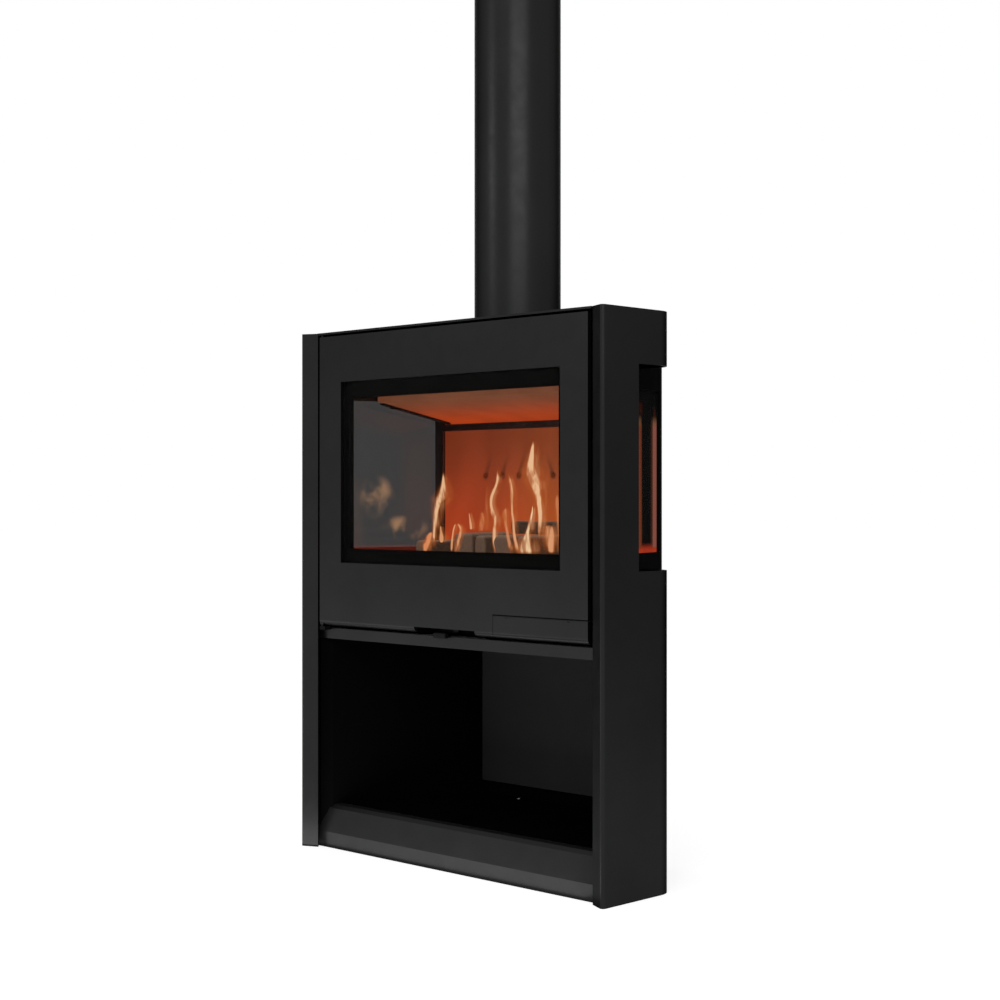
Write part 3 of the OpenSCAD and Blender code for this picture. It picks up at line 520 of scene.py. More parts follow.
def gasket(name, colour):
    """Flat glass-fibre tape: a fine crossed weave."""
    s = Shader(name)
    weave = s.cells(900)
    s.set(Base_Color=s.mix(s.spread(weave, 0.1, 0.6), shade(colour, 0.8), colour),
          Roughness=0.95, Specular_IOR_Level=0.1)
    return s.bump(weave, 0.06 * MM, 0.3).material


def burning_wood(name):
    """Split logs in the fire: faint rings on the ends and char on the sides, with the fire's light
    painted on them as a glow that is lighter along the top."""
    s = Shader(name)
    ring, end, top = s.value("ring"), s.value("end"), s.value("top")
    char = s.cells(130, s.mapped(1, 0.35, 1), "DISTANCE_TO_EDGE")
    fleck = s.noise(160, 4, 0.6)
    rings = s.math("SINE", s.times(ring, 60))
    face = s.mix(s.spread(rings, -1, 1), (0.085, 0.052, 0.038), (0.110, 0.070, 0.052))
    side = s.mix(s.spread(fleck, 0.45, 0.7), (0.035, 0.024, 0.018), (0.10, 0.075, 0.06))
    # Painted fire light: a glow, brighter on the ends, broken by dark flecks, and lighter along
    # the top
    glow = s.mix(end, (0.040, 0.022, 0.013), (0.100, 0.060, 0.038))
    glow = s.mix(s.spread(fleck, 0.35, 0.7, 0.0, 0.35), glow, (0.02, 0.012, 0.008))
    s.set(Base_Color=s.mix(end, side, face), Roughness=0.95, Specular_IOR_Level=0.1,
          Emission_Color=s.mix(top, glow, (0.17, 0.115, 0.08)), Emission_Strength=0.8)
    return s.bump(s.plus(char, fleck), 0.5 * MM, 0.6).material


def ember_bed(name):
    """Ash with embers in it: pale ash over glowing cells."""
    s = Shader(name)
    lumps = s.cells(90, feature="DISTANCE_TO_EDGE")
    fleck = s.noise(300, 4, 0.7)
    hot = s.times(s.spread(lumps, 0.0, 0.16, 1.0, 0.0), s.value("heat"))
    s.set(Base_Color=s.mix(s.spread(fleck, 0.35, 0.7), (0.04, 0.032, 0.028), (0.26, 0.23, 0.20)),
          Roughness=0.95, Emission_Color=s.mix(hot, (0.10, 0.012, 0.005), (0.9, 0.22, 0.04)),
          Emission_Strength=s.plus(0.25, s.times(hot, 0.45)))
    return s.bump(s.plus(lumps, fleck), 0.8 * MM, 0.7).material


def flame_stuff(name, hot, cool, edge):
    """Flame: light alone, clear at its borders and paler towards its middle. A tint
    attribute picks a hot or a cool flame, and another how much of it shows."""
    s = Shader(name)
    wisp = s.noise(130, 2, 0.5, s.mapped(1, 1, 0.14))
    thick = s.times(s.value("body"), s.spread(wisp, 0.32, 0.6, 0.5, 1.0))
    core = s.mix(s.value("tint"), cool, hot)
    hue = s.mix(s.spread(thick, 0.2, 0.85), edge, core)
    glow = s.node("ShaderNodeEmission")
    s.put(glow.inputs["Color"], hue)
    clear = s.node("ShaderNodeBsdfTransparent")
    both = s.node("ShaderNodeMixShader")
    s.put(both.inputs[0], s.times(s.spread(thick, 0.0, 0.85), s.value("shows")))
    s.join(clear.outputs[0], both.inputs[1])
    s.join(glow.outputs[0], both.inputs[2])
    s.join(both.outputs[0], s.out.inputs["Surface"])
    s.tree.nodes.remove(s.bsdf)
    return s.material


def give(names, material):
    for name in names:
        data = NODES[name].data
        data.materials.clear()
        data.materials.append(material)


# ---- Operators ----


class StovePaint(bpy.types.Operator):
    """Paint the outer and inner sheets, and finish the bare fittings"""

    bl_idname = "stove.paint"
    bl_label = "Paint and steel"

    def execute(self, context):
        c = context.scene.stove_finishes
        outside, inside = tuple(c.paint), tuple(c.dark_paint)
        give(PAINTED, paint("black_paint", outside, SMOOTH))
        # The plinth gets a copy of the outer paint with less metal pigment, so that it renders
        # lighter: painted light, as the plinth has the same paint as the rest of the stove
        give(["plinth"], paint("plinth_paint_lit_copy", outside, SMOOTH, LOW_SHEEN))
        give(["store_back_panel"], paint("store_paint", BACK_PANEL, 0.6, 0.3))
        give(DARK, paint("inner_paint", inside, EVEN, LOW_SHEEN))
        give(SOOTY_AND_SHADED, soot_and_shade_black("matt_black", SOOT_AND_SHADE))
        give(STORE, store_sheet_with_painted_shade("store_sheet_with_painted_shade", SOOT_AND_SHADE, outside))
        give(BARE, bare_steel("bare_steel", tuple(c.steel)))
        # The same blackened steel stands as painted shade on the hinge pins
        give(BLACKENED_AND_SHADED, bare_steel("blackened_and_shaded_steel", BLACKENING_AND_SHADE))
        give(CAST, cast_iron("cast_iron", IRON, IRON_SCALE))
        give(SCALED, cast_iron("scorched_steel", SCORCHED, SCORCHED_SCALE))
        return {"FINISHED"}


class StoveLining(bpy.types.Operator):
    """Finish the fire lining and the baffle"""

    bl_idname = "stove.lining"
    bl_label = "Fire lining"

    def execute(self, context):
        give(LINING, lining("fire_lining", tuple(context.scene.stove_finishes.lining)))
        return {"FINISHED"}


class StoveGlass(bpy.types.Operator):
    """Glaze the door and the sides"""

    bl_idname = "stove.glass"
    bl_label = "Glass and flat seals"

    def execute(self, context):
        give(["door_glass"], clear_glass("door_glass"))
        give(SIDE_GLASS, side_glass("side_glass"))
        give(FLAT_SEALS, gasket("seal_tape", TAPE))
        return {"FINISHED"}


# Ropes: width, radius of the corners and points round the section; the shelf's sheet
ROPE_WIDE, ROPE_BEND, ROPE_SIDES = 10 * MM, 12 * MM, 14
SHELF_SHEET = 2.5 * MM


class StoveRope(bpy.types.Operator):
    """Lay the glass ropes that seal the door and the foot of the front frame"""

    bl_idname = "stove.rope"
    bl_label = "Ropes"

    def execute(self, context):
        """The path is a rounded rectangle; round it runs an oval whose radius rises and
        falls with an angle that grows along the path, which gives slanting strands."""
        sizes = context.scene.stove_sizes
        lo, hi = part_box("door_seal")
        deep = (hi[1] - lo[1]) / 2
        half_x, half_z = (hi[0] - lo[0] - ROPE_WIDE) / 2, (hi[2] - lo[2] - ROPE_WIDE) / 2
        mid = (np.array(lo) + np.array(hi)) / 2
        bend = ROPE_BEND
        straight = np.array([2 * (half_x - bend), 2 * (half_z - bend)] * 2)
        length = straight.sum() + 2 * np.pi * bend
        count = 1500
        walk = np.linspace(0, length, count, endpoint=False)
        path, out = np.zeros((count, 2)), np.zeros((count, 2))
        begin = 0.0
        corners = np.array([[half_x - bend, -half_z + bend], [half_x - bend, half_z - bend],
                            [-half_x + bend, half_z - bend], [-half_x + bend, -half_z + bend]])
        for side in range(4):
            turn = side * np.pi / 2 - np.pi / 2
            normal = np.array([np.cos(turn), np.sin(turn)])
            along = np.array([-normal[1], normal[0]])
            start = corners[side - 1] + normal * bend
            on = (walk >= begin) & (walk < begin + straight[side])
            path[on] = start + np.outer(walk[on] - begin, along)
            out[on] = normal
            begin += straight[side]
            on = (walk >= begin) & (walk < begin + np.pi / 2 * bend)
            angle = turn + (walk[on] - begin) / bend
            out[on] = np.stack([np.cos(angle), np.sin(angle)], axis=1)
            path[on] = corners[side] + bend * out[on]
            begin += np.pi / 2 * bend
        around = circle(ROPE_SIDES)
        turns = round(walk[-1] * sizes.rope_turns / 4)
        strand = 0.5 + 0.5 * np.cos(2 * around + 2 * np.pi * turns * (walk / length)[:, None])
        size = 0.93 + 0.07 * strand
        wide = ROPE_WIDE / 2 * size * np.cos(around)
        grid = np.empty((count, ROPE_SIDES, 3))
        grid[..., 0] = mid[0] + path[:, :1] + out[:, :1] * wide
        grid[..., 1] = mid[1] + deep * size * np.sin(around)
        grid[..., 2] = mid[2] + path[:, 1:] + out[:, 1:] * wide
        batch = Batch()
        batch.add(grid, wrap_rows=True, wrap_cols=True, strand=strand)
        shown(batch, "door_rope", woven("glass_rope", ROPE), "door", "glass_rope", "door_seal")
        self.shelf_rope(sizes)
        return {"FINISHED"}

    def shelf_rope(self, sizes):
        """Ropes close the gap over the shelf's sheet, under the foot of the front frame
        and under the air box: a circle carried along X, whose radius rises and falls with
        an angle that grows along the way. Their ends are closed."""
        sheet_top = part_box("shelf")[0][2] + SHELF_SHEET
        around = circle(ROPE_SIDES)
        batch = Batch()
        for lo, hi in (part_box("front_frame"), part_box("air_box")):
            radius = (lo[2] - sheet_top) / 2
            walk = np.linspace(lo[0] + 2 * MM, hi[0] - 2 * MM, 900)[:, None]
            strand = 0.5 + 0.5 * np.cos(2 * around + walk * sizes.rope_turns * np.pi / 2)
            size = radius * (1.0 + 0.05 * strand)
            grid = np.stack([walk + 0 * around, lo[1] + 2 * MM + size * np.cos(around),
                             sheet_top + radius + size * np.sin(around)], axis=-1)
            batch.add(grid, wrap_cols=True, caps=True, flip=True, strand=strand)
        shown(batch, "shelf_rope", woven("black_rope", BLACK_ROPE), "stove", "glass_rope")


# Split logs in mm and degrees: place, depth, height of the underside, turn, width, length,
# height, and the power of the outline, which is squarer the higher it is
LOGS = [
    (-63, 5.6, 528, 4, 44, 112, 47, 6.0),
    (-166, 3.6, 528, -8, 24, 104, 32, 3.6),
    (-14, 1.6, 528, -3, 26, 104, 43, 4.0),
    (34, -1.4, 528, 10, 40, 110, 44, 3.4),
    (88, 3.6, 528, -6, 34, 100, 44, 3.8),
    (66, 5.6, 572.3, 82, 24, 116, 24, 3.4),
]


class StoveLogs(bpy.types.Operator):
    """Lay the split logs in the fire"""

    bl_idname = "stove.logs"
    bl_label = "Split logs"

    def execute(self, context):
        """Across a log the outline is a super-ellipse, |x/a|^n + |z/b|^n = 1, whose
        radius is roughened; along it the outline shrinks at the ends, and each end is
        closed by rings that run to the middle."""
        bark = context.scene.stove_sizes.bark
        batch = Batch()
        around = circle(72)
        share = around / (2 * np.pi)
        along = np.concatenate([np.zeros(4), np.linspace(0, 1, 26), np.ones(4)])[:, None]
        inner, shoulder = [0.02, 0.35, 0.7, 0.9], [0.965]
        size = np.concatenate([inner, shoulder, np.ones(24), shoulder, inner[::-1]])[:, None]
        end = np.concatenate([np.ones(4), [0.8], np.zeros(24), [0.8], np.ones(4)])[:, None]
        for i, (x, y, z, turn, wide, long, high, power) in enumerate(LOGS):
            radius = (np.abs(np.cos(around)) ** power
                      + np.abs(np.sin(around)) ** power) ** (-1 / power)
            relief = ripples(share * 3, along * 0.4, 11 + i, 12, 5)
            relief = relief + 0.5 * ripples(share * 9, along * 2.5, 31 + i, 10, 5)
            rough = 1 - bark * 2 / (high * MM) * np.clip(1.2 + relief, 0, 2.4) / 2
            u = radius * size * rough
            dent = ripples(u * np.cos(around) * 2, u * np.sin(around) * 2, 51 + i)
            dent = (1 - size) * 1.5 * np.abs(dent)
            across = u * np.cos(around) * wide / 2
            length = (along - 0.5) * long + np.where(along < 0.5, 1, -1) * dent
            height = np.maximum(u * np.sin(around) * high / 2, -high / 2 + 0.2) + high / 2
            t = math.radians(turn)
            put = np.stack([across * math.cos(t) - length * math.sin(t) + x,
                            across * math.sin(t) + length * math.cos(t) + y,
                            height + z], axis=-1) * MM
            # 1 along the top of each log, where the painted fire light is lighter
            top = np.clip((height / high - 0.86) * 10, 0, 1)
            batch.add(put, wrap_cols=True, caps=True, flip=True, ring=size * radius, end=end,
                      top=top)
        shown(batch, "split_logs", burning_wood("firewood"), "stove", "firewood", "firewood")
        return {"FINISHED"}


# Ash bed: width, depth and height of the bumps
ASH_WIDE, ASH_DEEP, ASH_HIGH = 0.33, 0.104, 5.5 * MM


class StoveEmbers(bpy.types.Operator):
    """Spread ash and embers under the logs"""

    bl_idname = "stove.embers"
    bl_label = "Ash bed"

    def execute(self, context):
        """A mound over the lining: height = low bumps times a fall to zero at the rim.
        A second sheet, facing down, lies flat just over the lining under it."""
        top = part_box("floor_liner")[1][2]
        u = np.linspace(-1, 1, 140)[None, :]
        v = np.linspace(-1, 1, 70)[:, None]
        fall = np.clip(1.15 * (1 - np.abs(u) ** 6) * (1 - np.abs(v) ** 4), 0, 1)
        bumps = 0.55 + 0.45 * ripples(u * 1.6, v * 1.0, 5, 14, 5)
        grid = np.empty((v.size, u.size, 3))
        grid[..., 0] = u * ASH_WIDE / 2 + 0.006 * np.sin(5 * v)
        grid[..., 1] = 0.003 + v * ASH_DEEP / 2 + 0.004 * np.sin(7 * u)
        grid[..., 2] = top + 0.2 * MM + fall * np.clip(bumps, 0.1, 1.4) * ASH_HIGH
        under = grid.copy()
        under[..., 2] = top + 0.05 * MM
        batch = Batch()
        heat = fall * (0.4 + 0.6 * np.clip(ripples(u * 1.2, v * 1.2, 8) + 0.6, 0, 1))
        batch.add(grid, heat=heat)
        batch.add(under, flip=True, heat=0.0)
        shown(batch, "ash_bed", ember_bed("ash"), "stove", "firewood")
        return {"FINISHED"}


# Flames in mm: depth from the middle, how much of it shows, tint from cool to hot, and the
# points that its middle passes, each with its place, height and width
FLAMES = [
    (-54, 0.95, 0.75, [(-128, 555, 2.5), (-129, 570, 5), (-127, 585, 6.5), (-125, 601, 8),
        (-123, 614, 9.5), (-118, 626, 12.5), (-112, 634, 16.5), (-107, 646, 12.5),
        (-105, 658, 8), (-105, 671, 4), (-106, 685, 1)]),
    (-58, 0.85, 0.2, [(-148, 539, 5), (-146, 549, 10), (-142, 558, 12), (-137, 568, 9),
        (-132, 576, 3)]),
    (-50, 0.8, 0.4, [(-114, 556, 4), (-114, 563, 8), (-115, 575, 5), (-117, 588, 1.5)]),
    (-62, 0.8, 0.4, [(-76, 542, 3), (-75, 556, 4), (-73, 570, 3), (-70, 582, 3),
        (-65, 592, 2)]),
    (-58, 0.8, 0.4, [(-71, 539, 4.5), (-65, 556, 6), (-59, 570, 6), (-57, 581, 5),
        (-65, 593, 2.5)]),
    (-50, 0.8, 0.5, [(-39, 580, 4), (-40, 589, 4.5), (-42, 599, 3), (-45, 612, 0.5)]),
    (24, 0.45, 0.2, [(-90, 575, 8), (-88, 588, 11), (-86, 601, 8), (-87, 612, 2.5)]),
    (26, 0.25, 0.2, [(-76, 575, 6.5), (-75, 601, 7), (-77, 630, 5), (-76, 661, 2)]),
    (-58, 0.9, 0.65, [(30, 541, 7), (26, 562, 6), (26, 581, 6), (28, 598, 8), (22, 611, 7.5),
        (18, 623, 5.5), (19, 636, 5.5), (25, 648, 5.5), (32, 661, 4.5), (34, 672, 4),
        (33, 688, 1)]),
    (-60, 0.85, 0.5, [(85, 542, 7.5), (79, 560, 6), (75, 578, 4.5), (73, 597, 4.5),
        (71, 611, 4.5), (70, 627, 4.5), (70, 639, 5.5), (69, 651, 5.5), (65, 666, 4.5),
        (61, 679, 1)]),
    (-56, 0.6, 0.3, [(67, 542, 8), (59, 563, 6), (54, 581, 5.5), (50, 597, 7.5),
        (48, 609, 8.5), (52, 621, 2.5)]),
    (-64, 1.0, 0.95, [(111, 540, 25), (108, 551, 21), (108, 564, 14), (111, 576, 7.5),
        (115, 588, 6), (118, 600, 5), (122, 614, 2.5), (122, 627, 0.5)]),
    (-56, 0.95, 0.75, [(131, 565, 2.5), (131, 579, 5), (133, 594, 7.5), (133, 609, 8.5),
        (131, 624, 10), (128, 639, 11.5), (123, 653, 15), (118, 665, 18.5), (112, 678, 18),
        (110, 690, 13.5), (112, 701, 10), (114, 714, 7), (116, 726, 4), (116, 736, 1)]),
    (-60, 0.85, 0.4, [(163, 543, 9), (161, 553, 13), (159, 565, 17), (158, 576, 18.5),
        (157, 585, 13.5), (154, 591, 6)]),
    (-54, 0.5, 0.2, [(177, 556, 5), (176, 574, 7.5), (174, 591, 8.5), (173, 609, 9),
        (170, 627, 7.5), (169, 645, 1)]),
]


def through(points, count):
    """A smooth line through points: between two of them it is the cubic whose slope at
    each end is half the step from the point before to the point after."""
    p = np.array(points, float)
    p = np.vstack([2 * p[0] - p[1], p, 2 * p[-1] - p[-2]])
    t = np.linspace(0, len(points) - 1 - 1e-9, count)
    i = t.astype(int)
    f = (t - i)[:, None]
    a, b, c, d = p[i], p[i + 1], p[i + 2], p[i + 3]
    return 0.5 * (2 * b + (c - a) * f + (2 * a - 5 * b + 4 * c - d) * f ** 2
                  + (3 * b - a - 3 * c + d) * f ** 3)


# Heights of the flames' foot and of the tallest tip, and the sheets of a flame: the way
# each faces in degrees, its share of the width and of the body, and how far back it stands
FLAME_FOOT, FLAME_TIP = 528, 736
FLAME_SHEETS = [(44.6, 1.1, 1.0, 0), (134.6, 0.8, 0.6, 0), (44.6, 2.8, 0.45, 5)]


class StoveFlames(bpy.types.Operator):
    """Raise the flames over the logs"""

    bl_idname = "stove.flames"
    bl_label = "Flames"

    def execute(self, context):
        """Each flame is two flat sheets that cross on one line through its points, with a
        wider and thinner glow behind. Over the share s across a sheet from -1 to 1, the
        place is the line's plus s times half the width there, and the body is 1 - s^2,
        which fades at the foot and the tip."""
        c = context.scene.stove_finishes
        stretch = context.scene.stove_sizes.flame_height / MM / (FLAME_TIP - FLAME_FOOT)
        batch = Batch()
        across = np.linspace(-1, 1, 13)[None, :]
        t = np.linspace(0, 1, 64)[:, None]
        fade = np.clip(t * 9 + 0.3, 0, 1) * np.clip((1 - t) * 9, 0, 1)
        for y, shows, tint, points in FLAMES:
            line = through(points, t.size)
            half = np.clip(line[:, 2:], 0.4, None) * 0.6
            high = FLAME_FOOT + (line[:, 1:2] - FLAME_FOOT) * stretch
            for facing, wide, share, back in FLAME_SHEETS:
                a = math.radians(facing)
                grid = np.empty((t.size, across.size, 3))
                grid[..., 0] = line[:, :1] + across * half * wide * math.cos(a)
                grid[..., 1] = y + back + across * half * wide * math.sin(a)
                grid[..., 2] = high
                body = (1 - across ** 2) * fade
                batch.add(grid * MM, body=body * share, shows=shows, tint=tint)
        colours = (tuple(v) for v in (c.flame, c.cool_flame, c.flame_edge))
        shown(batch, "flames", flame_stuff("flame", *colours), "stove", "firewood")
        return {"FINISHED"}


def turned(profile, centre, axis, sides, recess=None):
    """A turned form: the profile's (radius, height) pairs carried round the axis. Inside
    the recess radius the section goes from round to a hexagon, which cuts a socket."""
    angle = circle(sides)
    radius, height = (profile[:, i:i + 1] for i in (0, 1))
    sector = np.mod(angle, np.pi / 3) - np.pi / 6
    hexagon = math.cos(math.pi / 6) / np.cos(sector)
    factor = np.where(radius <= recess + 1e-9, hexagon, 1.0) if recess else 1.0
    across = radius * factor
    local = np.stack([across * np.cos(angle), across * np.sin(angle), height + 0 * angle], axis=-1)
    axis = np.array(axis, float)
    side = np.cross([0.0, 1.0, 0.0] if abs(axis[2]) > 0.9 else [0.0, 0.0, 1.0], axis)
    side /= np.linalg.norm(side)
    frame3 = np.stack([side, np.cross(axis, side), axis])
    return local @ frame3 + np.array(centre)


def screw_profile(radius, high):
    """A pan head seen in section: under edge, rounded rim, dome, rim of the socket,
    its wall and its floor."""
    dome = np.linspace(0, np.pi / 2, 7)
    rim = np.stack([radius - 0.3 * high + 0.3 * high * np.sin(dome[::-1]) ** 0.8,
                    0.55 * high + 0.45 * high * (1 - np.sin(dome[::-1]))], axis=1)
    socket = radius * 0.42
    start = [[0.02 * radius, 0], [radius, 0], [radius, 0.3 * high]]
    end = [[socket * 1.15, high], [socket, 0.94 * high], [socket, 0.35 * high],
           [0.02 * radius, 0.28 * high]]
    return np.array(start + rim.tolist() + end), socket


# Screws: heights of the rear ones; place of the log store's and how far in they stand
REAR_SCREWS_Z = (0.4265, 0.56, 0.74, 0.90)
STORE_SCREW_X, STORE_SCREW_IN = 0.111, 18 * MM


class StoveScrews(bpy.types.Operator):
    """Fit the socket screws"""

    bl_idname = "stove.screws"
    bl_label = "Screws"

    def execute(self, context):
        """Each screw is the section of a pan head, turned round its axis."""
        metal = bare_steel("screw_steel", SCREW)
        blackened = bare_steel("black_screw", BLACK_SCREW)
        _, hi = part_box("body_screws")
        d_lo, d_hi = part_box("door_screws")
        floor_top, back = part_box("store_floor")[1][2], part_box("rear_shield")[1][1]
        wide, narrow = 4 * MM, 3.5 * MM
        upwards, backwards = (0, 0, 1), (0, 1, 0)
        door_z = np.linspace(d_lo[2] + narrow, d_hi[2] - narrow, 3)
        jobs = [
            ("store_screws", metal, "stove", "body_screws", upwards, wide, 2.5 * MM,
             [(s * STORE_SCREW_X, hi[1] - STORE_SCREW_IN, floor_top) for s in (-1, 1)]),
            ("rear_screws", blackened, "stove", "body_screws", backwards, wide, hi[1] - back,
             [(s * (hi[0] - wide), back, z) for s in (-1, 1) for z in REAR_SCREWS_Z]),
            ("glass_screws", metal, "door", "door_screws", backwards, narrow, 3 * MM,
             [(s * (d_hi[0] - narrow), d_lo[1], z) for s in (-1, 1) for z in door_z]),
        ]
        for name, finish, body, node, axis, radius, high, places in jobs:
            profile, socket = screw_profile(radius, high)
            batch = Batch()
            for place in places:
                batch.add(turned(profile, place, axis, 36, socket), wrap_cols=True, caps=True)
            shown(batch, name, finish, body, "bare_steel", node)
        return {"FINISHED"}


class StoveBeads(bpy.types.Operator):
    """Run the weld beads at the foot of the log store's rear corners"""

    bl_idname = "stove.beads"
    bl_label = "Weld beads"

    def execute(self, context):
        """A circle carried upwards, whose radius rises and falls with its height as the
        weld's ripples do. Its ends are closed."""
        lo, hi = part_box("store_back")
        foot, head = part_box("store_floor")[1][2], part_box("store_back_panel")[0][2]
        rise = np.linspace(foot, head, 60)[:, None]
        around = circle(16)
        radius = 1.5 * MM + 0.1 * MM * np.cos(2 * np.pi * rise / (1.6 * MM))
        sunk = 0.6 * MM
        batch = Batch()
        for x in (lo[0] + sunk, hi[0] - sunk):
            grid = np.stack([x + radius * np.cos(around), lo[1] - sunk + radius * np.sin(around),
                             rise + 0 * around], axis=-1)
            batch.add(grid, wrap_cols=True, caps=True)
        # The beads take the finish of the store's back sheet, dead black as painted shade where
        # they face forwards
        sheet = NODES["store_back"].data.materials[0]
        shown(batch, "weld_beads", sheet, "stove", "black_paint")
        return {"FINISHED"}


class StoveKnob(bpy.types.Operator):
    """Shape the knob of the air lever"""

    bl_idname = "stove.knob"
    bl_label = "Air knob"

    def execute(self, context):
        """A rounded block: |x/a|^6 + |y/b|^6 + |z/c|^6 = 1 on a sphere's grid, with fine
        finger grooves across its front."""
        lo, hi = (np.array(v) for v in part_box("air_knob"))
        mid, half = (lo + hi) / 2, (hi - lo) / 2
        lat = np.linspace(-np.pi / 2 + 0.02, np.pi / 2 - 0.02, 60)[:, None]
        lon = circle(120)
        d = np.stack([np.cos(lat) * np.cos(lon), np.cos(lat) * np.sin(lon),
                      np.sin(lat) + 0 * lon], axis=-1)
        r = (np.abs(d) ** 6).sum(axis=-1, keepdims=True) ** (-1 / 6)
        shape = d * r
        groove = 0.5 + 0.5 * np.cos(shape[..., 0] * 9 * np.pi)
        front = np.clip(-shape[..., 1] * 3 - 2, 0, 1)
        front = front * np.clip(1.6 - 2 * np.abs(shape[..., 0]), 0, 1)
        shape[..., 1] *= 1 - 0.10 * groove * front
        batch = Batch()
        batch.add(mid + shape * half, wrap_cols=True, caps=True)
        shown(batch, "lever_knob", paint("knob_paint", KNOB, 0.4, LOW_SHEEN), "air_control",
              "black_paint", "air_knob")
        return {"FINISHED"}


class StoveFeet(bpy.types.Operator):
    """Set the levelling feet under the runners"""

    bl_idname = "stove.feet"
    bl_label = "Levelling feet"

    def execute(self, context):
        """Turned feet: a ribbed pad and a stud whose radius rises and falls with its
        height, which gives the thread."""
        lo, hi = (np.array(v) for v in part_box("levelling_feet"))
        pad, pad_high, core, top = 18 * MM, 8 * MM, 0.5 * MM, hi[2]
        ribs = np.stack([pad - 0.6 * MM * (np.arange(9) % 2),
                         0.6 * MM + np.linspace(0, 1, 9) * 6.4 * MM], axis=1)
        rise = np.linspace(pad_high, top, 60)
        stud = 4.6 * MM + 0.4 * MM * np.cos(2 * np.pi * rise / (1.5 * MM))
        profile = np.concatenate([[[core, 0], [pad - 1 * MM, 0]], ribs,
                                  [[pad - 1.5 * MM, pad_high], [6 * MM, pad_high]],
                                  np.stack([stud, rise], axis=1), [[core, top]]])
        batch = Batch()
        for x in (lo[0] + pad, hi[0] - pad):
            for y in (lo[1] + pad, hi[1] - pad):
                batch.add(turned(profile, (x, y, 0), (0, 0, 1), 40), wrap_cols=True, caps=True)
        shown(batch, "feet", bare_steel("zinc", ZINC), "stove", "bare_steel", "levelling_feet")
        return {"FINISHED"}


# Lamps: name, place, the point it faces, width and height, power in watts
LAMPS = [
    ("key_box", (2.5, -2.35, 2.05), (0, 0, 1.25), (2.6, 0.9), 34),
    ("left_box", (-1.6, -3.1, 1.9), (0, 0, 1.2), (1.0, 0.5), 9),
    ("pipe_box", (0.25, -2.6, 2.9), (0, 0, 1.5), (0.9, 1.0), 6),
    ("floor_glow", (-1.95, -1.7, 0.003), (-1.95, -1.7, 1), (2.6, 2.2), 40),
    ("floor_near", (-0.35, -0.25, 0.003), (-0.35, -0.25, 1), (1.3, 0.2), 3.2),
]
# Screens: name, where the foot starts and ends on the floor, height, level
SCREENS = [
    ("right_screen", (1.1, 1.7), (-0.6, 2.2), 1.15, 0.0),
    ("side_screen", (2.6, 0.4), (1.1, 1.7), 1.15, 0.62),
]
# Camera: place, the heading it looks along, focal length as a share of the sensor's width
CAMERA, HEADING, FOCAL, SENSOR = (2.201, -2.250, 0.632), (-0.702, 0.712), 1.797, 36
# Floor: half its width, points along a side, and the light it adds where it is seen; and
# the share of its look with which the world lights the stove
FLOOR_HALF, FLOOR_POINTS, FLOOR_LIFT, WORLD_LIGHT = 30, 41, 0.72, 0.35


def area(name, place, target, size, power):
    data = bpy.data.lights.new(name, "AREA")
    data.shape = "RECTANGLE"
    data.size, data.size_y = size
    data.energy = power
    lamp = bpy.data.objects.new(name, data)
    bpy.context.scene.collection.objects.link(lamp)
    lamp.visible_camera = False
    lamp.location = place
    aim = Vector(target) - Vector(place)
    lamp.rotation_euler = aim.to_track_quat("-Z", "Y").to_euler()


def screen(name, start, end, high, level):
    """A cloth on a stand, from start to end over the floor, whose level goes from black
    to white. It shows only where something glossy mirrors it."""
    u = np.linspace(0, 1, 9)[None, :, None]
    v = np.linspace(0, 1, 9)[:, None, None]
    foot = np.array([*start, 0.0]) * (1 - u) + np.array([*end, 0.0]) * u
    batch = Batch()
    batch.add(foot + v * np.array([0, 0, high]))
    cloth = batch.object(name)
    s = Shader(name)
    s.set(Base_Color=s.mix(s.noise(200), grey(0.004), grey(0.008)),
          Roughness=1.0, Specular_IOR_Level=0.0, Emission_Color=(1, 1, 1),
          Emission_Strength=level)
    cloth.data.materials.append(s.material)
    for ray in ("camera", "diffuse", "shadow", "transmission"):
        setattr(cloth, "visible_" + ray, False)


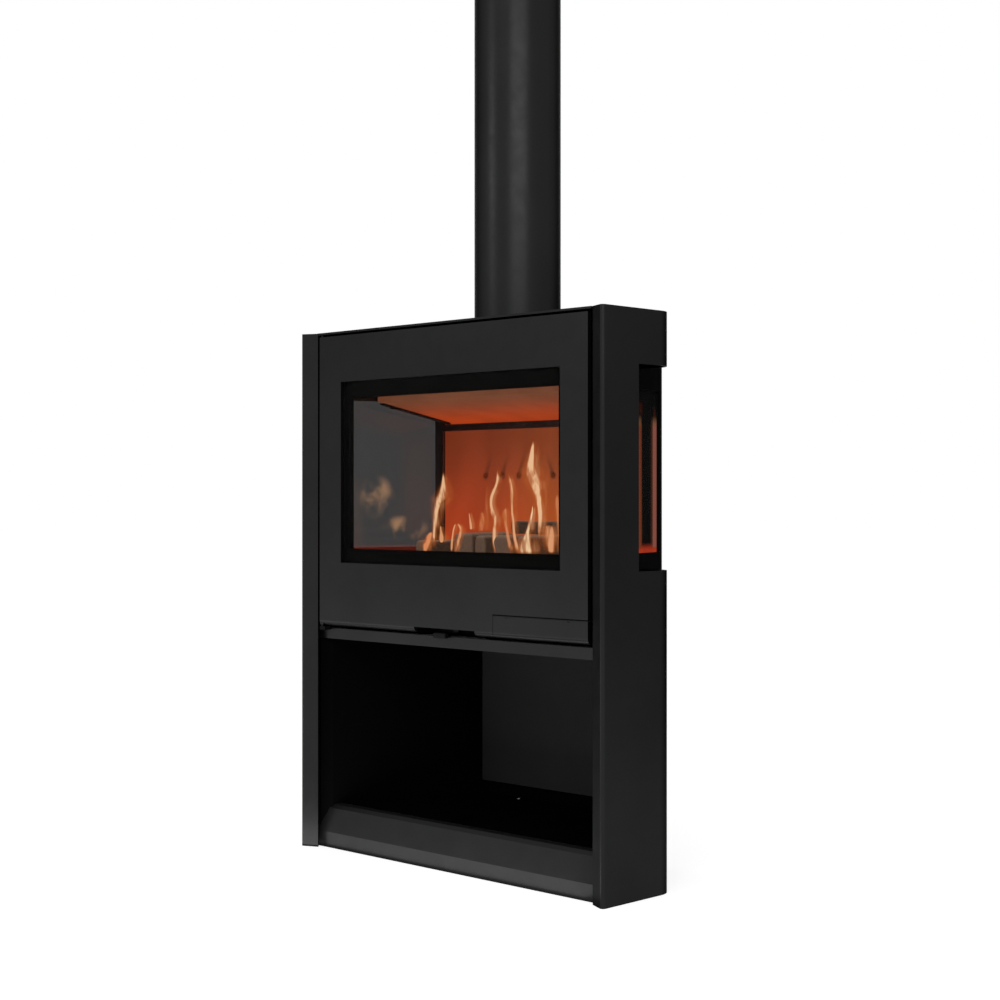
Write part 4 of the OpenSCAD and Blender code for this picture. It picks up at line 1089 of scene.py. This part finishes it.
class StoveStage(bpy.types.Operator):
    """Set the floor, the light and the camera"""

    bl_idname = "stove.stage"
    bl_label = "Floor, light and camera"

    def execute(self, context):
        """The floor is a flat grid. Floor and world look white to the eye, and light the
        stove less than they look."""
        scene = context.scene
        scene.view_settings.view_transform = "Standard"
        self.floor()
        self.world(scene)
        for lamp in LAMPS:
            area(*lamp)
        for cloth in SCREENS:
            screen(*cloth)

        data = bpy.data.cameras.new("camera")
        data.sensor_width = SENSOR
        data.lens = FOCAL * SENSOR
        data.clip_start, data.clip_end = 0.05, 200
        camera = bpy.data.objects.new("camera", data)
        scene.collection.objects.link(camera)
        camera.location = CAMERA
        camera.rotation_euler = (math.pi / 2, 0, math.atan2(-HEADING[0], HEADING[1]))
        scene.camera = camera
        return {"FINISHED"}

    def floor(self):
        u = np.linspace(-1, 1, FLOOR_POINTS) * FLOOR_HALF
        x, y = np.meshgrid(u, u)
        batch = Batch()
        batch.add(np.stack([x, y, 0 * x], axis=-1), flip=True)
        floor = batch.object("studio_floor")
        s = Shader("studio_floor")
        s.set(Base_Color=s.mix(s.spread(s.noise(3, 3), 0.3, 0.7), grey(0.80), grey(0.82)),
              Roughness=0.9, Specular_IOR_Level=0.0)
        lift = s.node("ShaderNodeEmission")
        s.put(lift.inputs["Strength"], s.times(s.seen(), FLOOR_LIFT))
        total = s.node("ShaderNodeAddShader")
        s.join(s.bsdf.outputs[0], total.inputs[0])
        s.join(lift.outputs[0], total.inputs[1])
        s.join(total.outputs[0], s.out.inputs["Surface"])
        floor.data.materials.append(s.material)

    def world(self, scene):
        scene.world = bpy.data.worlds.new("studio")
        scene.world.use_nodes = True
        tree = scene.world.node_tree
        seen, *others = seen_rays(tree.nodes.new("ShaderNodeLightPath"))
        for ray in others:
            top = tree.nodes.new("ShaderNodeMath")
            top.operation = "MAXIMUM"
            tree.links.new(seen, top.inputs[0])
            tree.links.new(ray, top.inputs[1])
            seen = top.outputs[0]
        level = tree.nodes.new("ShaderNodeMapRange")
        level.inputs["To Min"].default_value = WORLD_LIGHT
        level.inputs["To Max"].default_value = 1.0
        tree.links.new(seen, level.inputs["Value"])
        back = tree.nodes["Background"]
        tree.links.new(level.outputs[0], back.inputs["Strength"])
        back.inputs["Color"].default_value = (1, 1, 1, 1)


STEPS = [StovePaint, StoveLining, StoveGlass, StoveRope, StoveLogs, StoveEmbers, StoveFlames,
         StoveScrews, StoveBeads, StoveKnob, StoveFeet, StoveStage]


class StovePanel(bpy.types.Panel):
    """Lists the steps and the values they use"""

    bl_idname = "VIEW3D_PT_stove"
    bl_label = "Stove"
    bl_space_type = "VIEW_3D"
    bl_region_type = "UI"
    bl_category = "Stove"

    def draw(self, context):
        for group in (context.scene.stove_finishes, context.scene.stove_sizes):
            for key in group.__annotations__:
                self.layout.prop(group, key)
        for step in STEPS:
            self.layout.operator(step.bl_idname)


CLASSES = [StoveFinishes, StoveSizes, *STEPS, StovePanel]


def register():
    for c in CLASSES:
        bpy.utils.register_class(c)
    bpy.types.Scene.stove_finishes = PointerProperty(type=StoveFinishes)
    bpy.types.Scene.stove_sizes = PointerProperty(type=StoveSizes)


def unregister():
    del bpy.types.Scene.stove_sizes
    del bpy.types.Scene.stove_finishes
    for c in reversed(CLASSES):
        bpy.utils.unregister_class(c)


def main():
    register()
    for step in STEPS:
        getattr(bpy.ops.stove, step.bl_idname.split(".")[1])()


if __name__ == "__main__":
    main()
